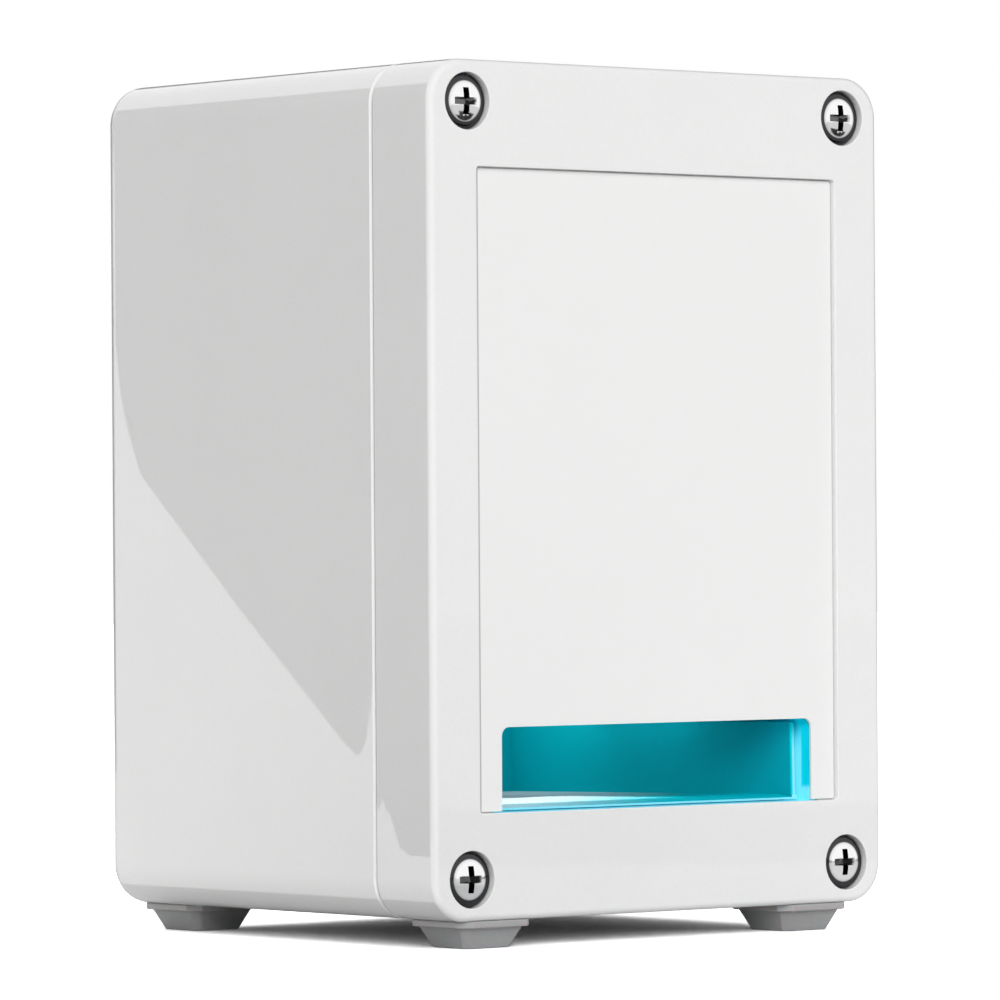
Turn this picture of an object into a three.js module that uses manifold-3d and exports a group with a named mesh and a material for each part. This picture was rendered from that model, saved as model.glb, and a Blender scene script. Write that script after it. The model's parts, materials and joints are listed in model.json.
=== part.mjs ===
// A bench reader for test cassettes. A moulded case is closed by a screwed front lid, and a teal bay
// behind the lid's window holds a slide-out cassette tray. A camera on a light hood looks down on the
// tray, and a board on the rear wall reads it. Millimetres, +Z up, front towards -Y, origin on the
// table under the middle of the case.
import * as THREE from "three";
import { mergeVertices } from "three/addons/utils/BufferGeometryUtils.js";
import Module from "manifold-3d";

const wasm = await Module();
wasm.setup();

// Driving dimensions of the case
const caseWidth = 84;
const caseDepth = 76.5;
const caseHeight = 120;
const cornerRadius = 5.8; // seen from the front
const wall = 3;
const clearance = 0.3; // between neighbouring pieces
const seatGap = 0.1; // under a piece that is glued or clipped on
const overrun = 1; // how far a cut runs past what it cuts
const arcSteps = 4; // facets in a quarter round
const pinSides = 16; // facets round a post, hole or screw
const endRoundShare = 0.49; // corner radius of a slot, as a share of its height

// Sizes of each piece
const lid = {
  depth: 13.1, face: 3.6, frontEdge: 1.6, seamEdge: 0.4,
  recessSideMargin: 8.4, recessTopMargin: 14.9, recessDepth: 1.2,
  postRadius: 3, postLength: 3, postRise: 1, ribThickness: 1.2, ribHeight: 2,
};
const seal = { inset: 1.2, width: 0.8, tongue: 1.2, thickness: 0.6 };
const body = {
  rearEdge: 2.8, ribThickness: 1.2, ribHeight: 1.5, ledgeWidth: 4, ledgeReach: 6, ledgeInset: 9.5,
};
const column = { insetX: 6.85, insetZ: 5.85, radius: 5 };
const lidScrew = { head: 3.65, rim: 1, height: 2.5, shank: 1.95, grip: 6.3, seat: 2.6, counterbore: 4 };
const insert = { outer: 2.9, inner: 2.3, length: 6, depth: 0.5, tipDepth: 9 };
const label = { thickness: 0.4 };
const foot = {
  height: 4, flange: 1, flangeEdge: 0.25, top: 13.2, shoulder: 11.4, bottom: 8.4, chamferShare: 0.13,
  insetX: 12.1, insetY: 6.9,
};
const opening = { sideMargin: 12.95, height: 11.9, sill: 15, corner: 1.3 }; // the lid's window
const bay = {
  snoutWall: 1.2, wall: 1.6, flange: 2.2, floorDepth: 3.6, rearGap: 2, rearWall: 1.8,
  bossRadius: 2.4, bossHeight: 7, bossFrontShare: 0.11, bossRearShare: 0.86,
};
const tray = {
  fallDegrees: 1, gap: 0.2, topGap: 0.4, setback: 3.6, rearGap: 1.2, wall: 1, floor: 0.7,
  lipLength: 3, lipEdge: 0.3, stopInset: 9.1, stopWidth: 20, stopLength: 2, stopHeight: 0.5,
};
const runner = { width: 5, height: 0.8, inset: 6.55, endMargin: 2 };
const strike = { size: 8, thickness: 0.6 };
const magnet = { radius: 3, thickness: 2, skin: 0.6 };
const sensor = { width: 5, height: 4, eye: 0.9, eyeHeight: 0.3, centre: 15 };
const tile = { width: 30, depth: 5, thickness: 1.5 };
const clip = { length: 30, bow: 1.4, thickness: 0.3, height: 6, lift: 3, rearMargin: 12.2, steps: 12 };
const hood = {
  plate: 2, skirt: 1, wall: 1.5, top: 2, topMargin: 1, screwGap: 0.65, frontMargin: 6.6, rearMargin: 1.5,
  slotWidth: 4.4, slotInset: 6.4, slotMargin: 6, apertureGap: 2.9, apertureMargin: 5, lens: 6.5,
};
const ledBoard = { width: 7, overhang: 2, thickness: 1.2, chip: 2.4, chipHeight: 0.7, chips: 6 };
const diffuser = { thickness: 0.9 };
const camera = {
  board: 28, thickness: 1.2, headroom: 15.7, post: 2.2, postLength: 8, postInset: 3, connectorHeight: 1.5,
};
const holder = { size: 14, height: 6.5 };
const barrel = { outer: 5.8, inner: 4, length: 13, start: 2, lip: 1.2 };
const glass = { radius: 3.7, thickness: 2, crown: 0.6, shoulderShare: 0.6, setback: 1.5 };
const mainBoard = {
  sideMargin: 7.5, bottomGap: 8.9, topMargin: 12, corner: 1.4, thickness: 1.6, gap: 3.4,
  postInset: 4, post: 3,
};
const chip = { size: 14, thickness: 1.4, x: -9, z: 2 };
const connector = { width: 14, height: 3.2, thickness: 2.4, inset: 12 };
const socket = {
  width: 9.2, height: 3.6, skin: 0.4, setback: 0.6, floor: 0.8, tongue: 0.7, tongueWidth: 6.6, lift: 9,
};
const ribbon = { width: 12, thickness: 0.4, steps: 12 };
const smallScrew = { head: 2.6, rim: 0.6, height: 1.8, shank: 1.15, grip: 5 };
const tinyScrew = { head: 1.9, rim: 0.4, height: 1.2, shank: 0.85, grip: 4.5 };

// Places that follow from the sizes
const frontY = -caseDepth / 2;
const rearY = caseDepth / 2;
const seamY = frontY + lid.depth;
const lidInnerY = frontY + lid.face;
const recessY = frontY + lid.recessDepth;
const bodyInnerY = rearY - wall;
const caseZ = foot.height;
const middleZ = caseZ + caseHeight / 2;
const ceilingZ = caseZ + caseHeight - wall;
const recessWidth = caseWidth - 2 * lid.recessSideMargin;
const openingWidth = caseWidth - 2 * opening.sideMargin;
const sillZ = caseZ + opening.sill;
const windowTopZ = sillZ + opening.height;
const recessTopZ = caseZ + caseHeight - lid.recessTopMargin;
const columnX = caseWidth / 2 - column.insetX;
const columnZ = caseHeight / 2 - column.insetZ;
const flangeY = lidInnerY + lid.postLength;
const channelY = flangeY + bay.flange;
const bayRearY = bodyInnerY - bay.rearGap;
const bayHalf = openingWidth / 2 + bay.wall;
const bayBaseZ = sillZ - bay.floorDepth;
const bayTopZ = windowTopZ + bay.snoutWall;
const postX = bayHalf + bay.bossRadius + bay.wall - clearance;
const postLowZ = sillZ + lid.postRise;
const postHighZ = bayTopZ + lid.postRadius;
const bossX = bayHalf + bay.bossRadius - clearance;
const trayFall = THREE.MathUtils.degToRad(tray.fallDegrees);
const trayHeight = opening.height - tray.gap - tray.topGap;
const boardRearY = bodyInnerY - mainBoard.gap;
const boardFrontY = boardRearY - mainBoard.thickness;
const plateFrontY = channelY + smallScrew.height + clearance; // clear of the bay's screw heads
const plateTopZ = bayTopZ + hood.plate;
const hoodFrontY = plateFrontY + hood.frontMargin;
const hoodRearY = boardFrontY - hood.rearMargin;
const hoodY = (hoodFrontY + hoodRearY) / 2;
const hoodHalf = bossX - smallScrew.head - hood.screwGap;
const slotX = hoodHalf - hood.slotInset;
const slotLength = hoodRearY - hoodFrontY - 2 * hood.slotMargin;
const cameraZ = ceilingZ - camera.headroom - camera.thickness;
const hoodTopZ = cameraZ - camera.postLength - hood.top;
const boardWidth = caseWidth - 2 * (wall + mainBoard.sideMargin);
const boardLowZ = plateTopZ + mainBoard.bottomGap;
const boardHighZ = ceilingZ - mainBoard.topMargin;
const boardZ = (boardLowZ + boardHighZ) / 2;
const socketZ = boardLowZ + socket.lift;

// Colours and finishes
const finishes = {
  casePlastic: { color: 0xe9e9e8, roughness: 0.3, metalness: 0 },
  labelFilm: { color: 0xefefee, roughness: 0.45, metalness: 0 },
  tealPlastic: { color: 0x00c3da, roughness: 0.2, metalness: 0 },
  footRubber: { color: 0xa4a4a4, roughness: 0.7, metalness: 0 },
  sealRubber: { color: 0x6d6f70, roughness: 0.8, metalness: 0 },
  brightSteel: { color: 0xd8d8d8, roughness: 0.12, metalness: 1 },
  springSteel: { color: 0xb4b4b0, roughness: 0.3, metalness: 1 },
  brass: { color: 0xc9a24a, roughness: 0.35, metalness: 1 },
  blackPlastic: { color: 0x1c1c1e, roughness: 0.6, metalness: 0 },
  nylon: { color: 0xdededa, roughness: 0.4, metalness: 0 },
  boardGreen: { color: 0x1e5a3a, roughness: 0.45, metalness: 0 },
  opal: { color: 0xf4f7f8, roughness: 0.5, metalness: 0 },
  ceramicWhite: { color: 0xf6f6f4, roughness: 0.6, metalness: 0 },
  ribbonFilm: { color: 0xd9b36a, roughness: 0.4, metalness: 0 },
  lensGlass: { color: 0x8fa6b0, roughness: 0.05, metalness: 0 },
};

// Closed solids from geometry, to join and cut
const mergeDistance = 1e-4;
function solid(item) {
  if (!item.isBufferGeometry) return item;
  const bare = item.clone();
  bare.deleteAttribute("normal");
  bare.deleteAttribute("uv");
  const merged = mergeVertices(bare, mergeDistance);
  return new wasm.Manifold(
    new wasm.Mesh({
      numProp: 3,
      vertProperties: merged.attributes.position.array,
      triVerts: new Uint32Array(merged.index.array),
    }),
  );
}

const joined = (...items) => items.map(solid).reduce((all, next) => all.add(next));
const cut = (base, ...tools) => tools.map(solid).reduce((left, tool) => left.subtract(tool), solid(base));
const common = (first, second) => solid(first).intersect(solid(second));

function geometryOf(shape) {
  if (shape.isBufferGeometry) return shape;
  const made = shape.getMesh();
  return new THREE.BufferGeometry()
    .setAttribute("position", new THREE.BufferAttribute(made.vertProperties, 3))
    .setIndex(new THREE.BufferAttribute(made.triVerts, 1));
}

const reader = new THREE.Group();
const trayFrame = new THREE.Group(); // the tray's own frame, which falls towards the rear
trayFrame.position.set(0, frontY, sillZ + tray.gap);
trayFrame.rotation.x = -trayFall;
reader.add(trayFrame);

function add(name, shape, finish, parent = reader) {
  const geometry = geometryOf(shape);
  geometry.computeVertexNormals();
  const mesh = new THREE.Mesh(geometry, new THREE.MeshStandardMaterial(finishes[finish]));
  mesh.name = name;
  parent.add(mesh);
  return mesh;
}

// Outlines and prisms
function rectangle(width, height, radius = 0) {
  const [x, y] = [width / 2, height / 2];
  const outline = new THREE.Shape();
  if (radius === 0) {
    const corners = [[x, -y], [x, y], [-x, y], [-x, -y]];
    return outline.setFromPoints(corners.map(([u, v]) => new THREE.Vector2(u, v)));
  }
  const quarter = Math.PI / 2;
  [[1, 1], [-1, 1], [-1, -1], [1, -1]].forEach(([sideX, sideY], turn) => {
    outline.absarc(sideX * (x - radius), sideY * (y - radius), radius, turn * quarter, (turn + 1) * quarter);
  });
  return outline;
}

// An outline that stands on y = 0, square below and rounded above
function arch(width, height, radius) {
  const outline = new THREE.Shape();
  outline.moveTo(-width / 2, 0);
  outline.lineTo(width / 2, 0);
  outline.absarc(width / 2 - radius, height - radius, radius, 0, Math.PI / 2);
  outline.absarc(radius - width / 2, height - radius, radius, Math.PI / 2, Math.PI);
  return outline;
}

function prism(outline, length, edge = 0) {
  return new THREE.ExtrudeGeometry(outline, {
    depth: length - 2 * edge,
    bevelEnabled: edge > 0,
    bevelThickness: edge,
    bevelSize: edge,
    bevelOffset: -edge,
    bevelSegments: edge > 1 ? arcSteps : 1,
    curveSegments: arcSteps,
  }).translate(0, 0, edge);
}

// A prism along Y whose outline is drawn in X and Z
function lying(outline, startY, endY, edge = 0) {
  return prism(outline, endY - startY, edge).rotateX(Math.PI / 2).translate(0, endY, 0);
}

// A prism along X whose outline is drawn in Y and Z
const turnedToX = new THREE.Matrix4().makeBasis(
  new THREE.Vector3(0, 1, 0), new THREE.Vector3(0, 0, 1), new THREE.Vector3(1, 0, 0),
);
function across(outline, startX, endX) {
  return prism(outline, endX - startX).applyMatrix4(turnedToX).translate(startX, 0, 0);
}

function box(lowX, highX, lowY, highY, lowZ, highZ) {
  return new THREE.BoxGeometry(highX - lowX, highY - lowY, highZ - lowZ)
    .translate((lowX + highX) / 2, (lowY + highY) / 2, (lowZ + highZ) / 2);
}

function pinAlongY(radius, startY, endY, x, z, sides = pinSides) {
  return new THREE.CylinderGeometry(radius, radius, endY - startY, sides)
    .translate(x, (startY + endY) / 2, z);
}

function pinAlongZ(radius, startZ, endZ, x, y, sides = pinSides) {
  return new THREE.CylinderGeometry(radius, radius, endZ - startZ, sides)
    .rotateX(Math.PI / 2)
    .translate(x, y, (startZ + endZ) / 2);
}

// The case's outline drawn in by an inset, as a prism along Y
function caseBlock(inset, startY, endY, edge = 0) {
  const outline = rectangle(caseWidth - 2 * inset, caseHeight - 2 * inset, cornerRadius - inset);
  return lying(outline, startY, endY, edge).translate(0, 0, middleZ);
}

function caseRing(inset, width, startY, endY) {
  return cut(caseBlock(inset, startY, endY), caseBlock(inset + width, startY - overrun, endY + overrun));
}

const fourCorners = [[-1, -1], [1, -1], [-1, 1], [1, 1]];
const atColumns = (make) =>
  fourCorners.map(([sideX, sideZ]) => make(sideX * columnX, middleZ + sideZ * columnZ));
const bayPostPlaces = [[-1, postLowZ], [1, postLowZ], [-1, postHighZ], [1, postHighZ]];
const boardPostPlaces = fourCorners.map(([sideX, sideZ]) => [
  sideX * (boardWidth / 2 - mainBoard.postInset),
  boardZ + sideZ * ((boardHighZ - boardLowZ) / 2 - mainBoard.postInset),
]);

// Screws: the seat of the head is at the origin, and the shank runs along +Y
function screwGeometry(size, grip, sides) {
  const domeSteps = sides / 4;
  const dome = [...Array(domeSteps + 1).keys()].map((step) => {
    const angle = (step / domeSteps) * (Math.PI / 2);
    return [size.head * Math.sin(angle), -size.rim - (size.height - size.rim) * Math.cos(angle)];
  });
  const profile = [...dome, [size.head, 0], [size.shank, 0], [size.shank, grip - size.shank / 2],
    [size.shank / 2, grip], [0, grip]];
  return new THREE.LatheGeometry(profile.map(([r, y]) => new THREE.Vector2(r, y)), sides);
}

const crossShares = { reach: 0.56, slot: 0.17, depth: 0.62 };
function crossRecess(size) {
  const [reach, slot] = [size.head * crossShares.reach, size.head * crossShares.slot];
  const [low, floor] = [-size.height - overrun, size.height * (crossShares.depth - 1)];
  return joined(box(-reach, reach, low, floor, -slot, slot), box(-slot, slot, low, floor, -reach, reach));
}

const headUp = [-Math.PI / 2, 0, 0];
const headToRear = [0, 0, Math.PI];
function addSmallScrew(name, size, place, rotation) {
  const mesh = add(name, screwGeometry(size, size.grip, pinSides / 2), "brightSteel");
  mesh.position.set(...place);
  mesh.rotation.set(...rotation);
}

// Rear case: shell, corner columns, tongue, board posts, guide ribs and the socket's cut-out
function makeBody() {
  const outside = common(
    caseBlock(0, seamY - caseDepth, rearY, body.rearEdge),
    caseBlock(0, seamY, rearY + caseDepth, lid.seamEdge),
  );
  const shell = cut(outside, caseBlock(wall, seamY - overrun, bodyInnerY));
  const columns = atColumns((x, z) => pinAlongY(column.radius, seamY, bodyInnerY + wall / 2, x, z));
  const tongue = caseRing(seal.inset, seal.width, seamY - seal.tongue, seamY + wall);
  const posts = boardPostPlaces.map(([x, z]) =>
    pinAlongY(mainBoard.post, boardRearY, bodyInnerY + wall / 2, x, z));
  const ribShares = [0.37, 0.57, 0.77];
  const ribs = ribShares.flatMap((share) => [-1, 1].map((side) => {
    const z = caseZ + share * caseHeight;
    const [inner, outer] = [caseWidth / 2 - wall - body.ribHeight, caseWidth / 2 - wall / 2];
    const [lowX, highX] = side < 0 ? [-outer, -inner] : [inner, outer];
    return box(lowX, highX, seamY + column.radius, bodyInnerY + wall / 2, z, z + body.ribThickness);
  }));
  const ledges = [-1, 1].map((side) => {
    const x = side * (openingWidth / 2 - body.ledgeInset);
    return box(x - body.ledgeWidth / 2, x + body.ledgeWidth / 2, bodyInnerY - body.ledgeReach,
      bodyInnerY + wall / 2, caseZ + wall / 2, bayBaseZ - clearance);
  });
  const insertHoles = atColumns((x, z) => pinAlongY(insert.outer + clearance, seamY - overrun,
    seamY + insert.depth + insert.length + clearance, x, z));
  const tipHoles = atColumns((x, z) => pinAlongY(insert.inner, seamY, seamY + insert.tipDepth, x, z));
  const postHoles = boardPostPlaces.map(([x, z]) =>
    pinAlongY(smallScrew.shank + clearance, boardRearY - overrun, boardRearY + smallScrew.grip, x, z));
  const [holeWidth, holeHeight] = [socket.width + 2 * clearance, socket.height + 2 * clearance];
  const socketHole = lying(rectangle(holeWidth, holeHeight, holeHeight * endRoundShare),
    bodyInnerY - overrun, rearY + overrun).translate(0, 0, socketZ);
  const whole = joined(shell, ...columns, tongue, ...posts, ...ribs, ...ledges);
  add("body_shell", cut(whole, ...insertHoles, ...tipHoles, ...postHoles, socketHole), "casePlastic");
}

// Front lid: recess for the label, window for the bay's snout, counterbored columns, groove and posts
function makeLid() {
  const outside = common(
    caseBlock(0, frontY, seamY + caseDepth, lid.frontEdge),
    caseBlock(0, frontY - caseDepth, seamY, lid.seamEdge),
  );
  const shell = cut(outside, caseBlock(wall, lidInnerY, seamY + overrun));
  const columns = atColumns((x, z) => pinAlongY(column.radius, lidInnerY - lid.face / 2, seamY, x, z));
  const posts = bayPostPlaces.map(([side, z]) =>
    pinAlongY(lid.postRadius, lidInnerY - lid.face / 2, flangeY, side * postX, z));
  const ribShares = [-0.25, 0, 0.25];
  const ribs = ribShares.map((share) => {
    const x = share * recessWidth;
    return box(x - lid.ribThickness / 2, x + lid.ribThickness / 2, lidInnerY - lid.face / 2,
      lidInnerY + lid.ribHeight, postHighZ + lid.postRadius, recessTopZ);
  });
  const recess = box(-recessWidth / 2, recessWidth / 2, frontY - overrun, recessY, sillZ, recessTopZ);
  const snoutHalf = openingWidth / 2 + bay.snoutWall + clearance;
  const window = box(-snoutHalf, snoutHalf, recessY, lidInnerY + overrun,
    sillZ - bay.snoutWall - clearance, windowTopZ + bay.snoutWall + clearance);
  const counterbores = atColumns((x, z) =>
    pinAlongY(lidScrew.counterbore, frontY - overrun, frontY + lidScrew.seat, x, z));
  const screwHoles = atColumns((x, z) =>
    pinAlongY(lidScrew.shank + clearance, frontY, seamY + overrun, x, z));
  const postHoles = bayPostPlaces.map(([side, z]) => pinAlongY(smallScrew.shank + clearance,
    channelY - smallScrew.grip - clearance, flangeY + overrun, side * postX, z));
  const groove = caseRing(seal.inset - clearance, seal.width + 2 * clearance,
    seamY - seal.tongue - seal.thickness - 2 * clearance, seamY + overrun);
  const whole = joined(shell, ...columns, ...posts, ...ribs);
  const holes = [...counterbores, ...screwHoles, ...postHoles];
  add("front_lid", cut(whole, recess, window, ...holes, groove), "casePlastic");
  const sealEndY = seamY - seal.tongue - clearance;
  add("lid_gasket", caseRing(seal.inset, seal.width, sealEndY - seal.thickness, sealEndY), "sealRubber");
}

function makeLidScrews() {
  const grip = lid.depth - lidScrew.seat + lidScrew.grip;
  atColumns((x, z) => [x, frontY + lidScrew.seat, z]).forEach((place, index) => {
    const screw = cut(screwGeometry(lidScrew, grip, pinSides), crossRecess(lidScrew));
    add("lid_screw_" + (index + 1), screw, "brightSteel").position.set(...place);
    const sleeve = cut(
      pinAlongY(insert.outer, 0, insert.length, 0, 0),
      pinAlongY(insert.inner, -overrun, insert.length + overrun, 0, 0),
    );
    add("lid_insert_" + (index + 1), sleeve, "brass").position.set(place[0], seamY + insert.depth, place[2]);
  });
}

// Front film in the lid's recess, notched for the window
function makeLabel() {
  const [low, high] = [sillZ + clearance, recessTopZ - clearance];
  const half = recessWidth / 2 - clearance;
  const film = box(-half, half, recessY - label.thickness, recessY, low, high);
  const notch = lying(arch(openingWidth, opening.height + overrun, opening.corner), frontY, recessY + overrun)
    .translate(0, 0, sillZ - overrun);
  add("front_label", cut(film, notch), "labelFilm");
}

// Eight-sided rubber feet under the corners of the case
function footOutline(size) {
  const [half, chamfer] = [size / 2, size * foot.chamferShare];
  const flat = half - chamfer;
  const corners = [[half, flat], [flat, half], [-flat, half], [-half, flat],
    [-half, -flat], [-flat, -half], [flat, -half], [half, -flat]];
  return corners.map(([x, y]) => new THREE.Vector2(x, y));
}

function taperedFoot() {
  const levels = [[0, foot.bottom], [foot.height - foot.flange, foot.shoulder]];
  const rings = levels.map(([z, size]) => footOutline(size).map(({ x, y }) => [x, y, z]));
  const sides = rings[0].length;
  const points = [...rings.flat(), [0, 0, levels[0][0]], [0, 0, levels[1][0]]];
  const faces = rings[0].flatMap((_, i) => {
    const next = (i + 1) % sides;
    const wallFaces = [[i, next, sides + next], [i, sides + next, sides + i]];
    return [...wallFaces, [next, i, 2 * sides], [sides + i, sides + next, 2 * sides + 1]];
  });
  return new THREE.BufferGeometry()
    .setAttribute("position", new THREE.Float32BufferAttribute(points.flat(), 3))
    .setIndex(faces.flat());
}

function makeFeet() {
  const flange = prism(new THREE.Shape(footOutline(foot.top)), foot.flange, foot.flangeEdge)
    .translate(0, 0, foot.height - foot.flange);
  fourCorners.forEach(([sideX, sideY], index) => {
    const mesh = add("foot_" + (index + 1), joined(taperedFoot(), flange), "footRubber");
    mesh.position.set(sideX * (caseWidth / 2 - foot.insetX), sideY * (caseDepth / 2 - foot.insetY), 0);
  });
}

// Bay: snout through the lid, flange on the lid's posts, and a channel that falls with the tray
const inTrayFrame = (geometry) => geometry.rotateX(-trayFall).translate(0, frontY, sillZ + tray.gap);
const channelStart = channelY - frontY + clearance;
const channelEnd = bayRearY - frontY - bay.rearWall;
const runnerTop = -tray.gap;
const runnerBase = runnerTop - runner.height;
const magnetZ = sillZ + opening.height / 2 - channelEnd * Math.sin(trayFall);
const bossYs = [bay.bossFrontShare, bay.bossRearShare]
  .map((share) => channelY + share * (bayRearY - channelY));
const bossPlaces = [-1, 1].flatMap((side) => bossYs.map((y) => [side * bossX, y]));

function makeBay() {
  const half = openingWidth / 2;
  const snoutHalf = half + bay.snoutWall;
  const snout = box(-snoutHalf, snoutHalf, recessY + clearance, channelY, sillZ - bay.snoutWall, bayTopZ);
  const flangeWidth = 2 * (postX + lid.postRadius);
  const flangeHeight = postHighZ - postLowZ + 2 * lid.postRadius;
  const flange = lying(rectangle(flangeWidth, flangeHeight, lid.postRadius), flangeY, channelY)
    .translate(0, 0, (postLowZ + postHighZ) / 2);
  const channel = box(-bayHalf, bayHalf, flangeY, bayRearY, bayBaseZ, bayTopZ);
  const bosses = bossPlaces.map(([x, y]) =>
    pinAlongZ(bay.bossRadius, bayTopZ - bay.bossHeight, bayTopZ, x, y));
  const mouthOutline = arch(openingWidth, opening.height, opening.corner);
  const mouth = inTrayFrame(lying(mouthOutline, 0, channelStart + overrun).translate(0, 0, runnerTop));
  const troughBase = runnerBase - clearance;
  const trough = inTrayFrame(box(-half, half, channelStart, channelEnd, troughBase, 2 * opening.height));
  const holeRadius = smallScrew.shank + clearance;
  const flangeHoles = bayPostPlaces.map(([side, z]) =>
    pinAlongY(holeRadius, flangeY - overrun, channelY + overrun, side * postX, z, pinSides / 2));
  const bossHoles = bossPlaces.map(([x, y]) =>
    pinAlongZ(holeRadius, bayTopZ - smallScrew.grip, bayTopZ + overrun, x, y, pinSides / 2));
  const magnetPocket = pinAlongY(magnet.radius + clearance, bayRearY - bay.rearWall + magnet.skin,
    bayRearY + overrun, 0, magnetZ);
  const [windowHalf, windowRise] = [sensor.width / 2 + clearance, sensor.height / 2 + clearance];
  const sensorWindow = box(sensor.centre - windowHalf, sensor.centre + windowHalf,
    bayRearY - 2 * bay.rearWall, bayRearY + overrun, magnetZ - windowRise, magnetZ + windowRise);
  const whole = joined(snout, flange, channel, ...bosses);
  const holes = [...flangeHoles, ...bossHoles, magnetPocket, sensorWindow];
  add("bay_housing", cut(whole, mouth, trough, ...holes), "tealPlastic");
  bayPostPlaces.forEach(([side, z], index) => {
    addSmallScrew("bay_screw_" + (index + 1), smallScrew, [side * postX, channelY, z], headToRear);
  });
}

function makeBayFittings() {
  [["left", -1], ["right", 1]].forEach(([name, side]) => {
    const x = side * (openingWidth / 2 - runner.inset);
    const strip = box(x - runner.width / 2, x + runner.width / 2, channelStart + runner.endMargin,
      channelEnd - runner.endMargin, runnerBase, runnerTop);
    add("tray_runner_" + name, strip, "nylon", trayFrame);
  });
  const magnetY = bayRearY - bay.rearWall + magnet.skin + seatGap;
  const disc = pinAlongY(magnet.radius, magnetY, magnetY + magnet.thickness, 0, magnetZ);
  add("catch_magnet", disc, "springSteel");
  const sensorY = bayRearY - bay.rearWall + sensor.eyeHeight;
  add("tray_sensor", joined(
    box(sensor.centre - sensor.width / 2, sensor.centre + sensor.width / 2, sensorY, bodyInnerY - clearance,
      magnetZ - sensor.height / 2, magnetZ + sensor.height / 2),
    pinAlongY(sensor.eye, sensorY - sensor.eyeHeight, sensorY + sensor.eyeHeight, sensor.centre, magnetZ,
      pinSides / 2),
  ), "blackPlastic");
}

// Cassette tray, in its own frame: y is the depth behind the lid's face, z = 0 is its underside
function makeTray() {
  const half = openingWidth / 2 - clearance;
  const trayRear = channelEnd - tray.rearGap;
  const outside = lying(arch(2 * half, trayHeight, opening.corner), tray.setback, trayRear);
  const inside = box(tray.wall - half, half - tray.wall, tray.setback - overrun, trayRear - tray.wall,
    tray.floor, trayHeight + overrun);
  const chamfer = new THREE.Shape([
    [tray.setback - overrun, tray.lipEdge - overrun * (tray.floor - tray.lipEdge) / tray.lipLength],
    [tray.setback + tray.lipLength, tray.floor], [tray.setback + tray.lipLength, tray.floor + overrun],
    [tray.setback - overrun, tray.floor + overrun],
  ].map(([y, z]) => new THREE.Vector2(y, z)));
  const lip = across(chamfer, tray.wall - half, half - tray.wall);
  const roundFront = [-1, 1].map((side) => {
    const x = side * (half - tray.wall / 2);
    const square = box(x - tray.wall, x + tray.wall, tray.setback - overrun, tray.setback + tray.wall / 2,
      tray.floor, trayHeight + overrun);
    const round = pinAlongZ(tray.wall / 2, tray.floor - overrun, trayHeight + 2 * overrun, x,
      tray.setback + tray.wall / 2);
    return cut(square, round);
  });
  // The stop under the floor meets the step at the front of the channel when the tray is out 50 mm
  const stopStart = trayRear - tray.stopInset;
  const stop = box(-tray.stopWidth / 2, tray.stopWidth / 2, stopStart, stopStart + tray.stopLength,
    -tray.stopHeight, tray.floor / 2);
  const whole = joined(cut(outside, inside, lip, ...roundFront), stop);
  add("cassette_tray", whole, "tealPlastic", trayFrame);

  const [tileRear, tileBase] = [trayRear - tray.wall - seatGap, tray.floor + seatGap];
  add("reference_tile", box(-tile.width / 2, tile.width / 2, tileRear - tile.depth, tileRear,
    tileBase, tileBase + tile.thickness), "ceramicWhite", trayFrame);
  const strikeFront = trayRear + seatGap;
  add("strike_plate", box(-strike.size / 2, strike.size / 2, strikeFront, strikeFront + strike.thickness,
    trayHeight / 2 - strike.size / 2, trayHeight / 2 + strike.size / 2), "springSteel", trayFrame);

  const wallX = tray.wall - half + seatGap;
  const clipRear = trayRear - tray.wall - clip.rearMargin;
  const bow = (offset) => new THREE.QuadraticBezierCurve(
    new THREE.Vector2(wallX + offset, clipRear - clip.length),
    new THREE.Vector2(wallX + offset + 2 * clip.bow, clipRear - clip.length / 2),
    new THREE.Vector2(wallX + offset, clipRear),
  ).getPoints(clip.steps);
  const leaf = new THREE.Shape([...bow(clip.thickness), ...bow(0).reverse()]);
  add("cassette_clip", prism(leaf, clip.height).translate(0, 0, clip.lift), "springSteel", trayFrame);
}

// Light hood: a base plate on the bay, two lamp slots, and a tapering shroud up to the camera
function taperedBlock(width, depth, topWidth, topDepth, height) {
  const block = new THREE.BoxGeometry(width, depth, height).translate(0, 0, height / 2);
  const place = block.getAttribute("position");
  for (let i = 0; i < place.count; i += 1) {
    if (place.getZ(i) > height / 2) {
      place.setXY(i, place.getX(i) * topWidth / width, place.getY(i) * topDepth / depth);
    }
  }
  return block;
}

const slotPlaces = [["left", -slotX], ["right", slotX]];
const cameraPosts = fourCorners.map(([sideX, sideY]) => {
  const reach = camera.board / 2 - camera.postInset;
  return [sideX * reach, hoodY + sideY * reach];
});

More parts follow.
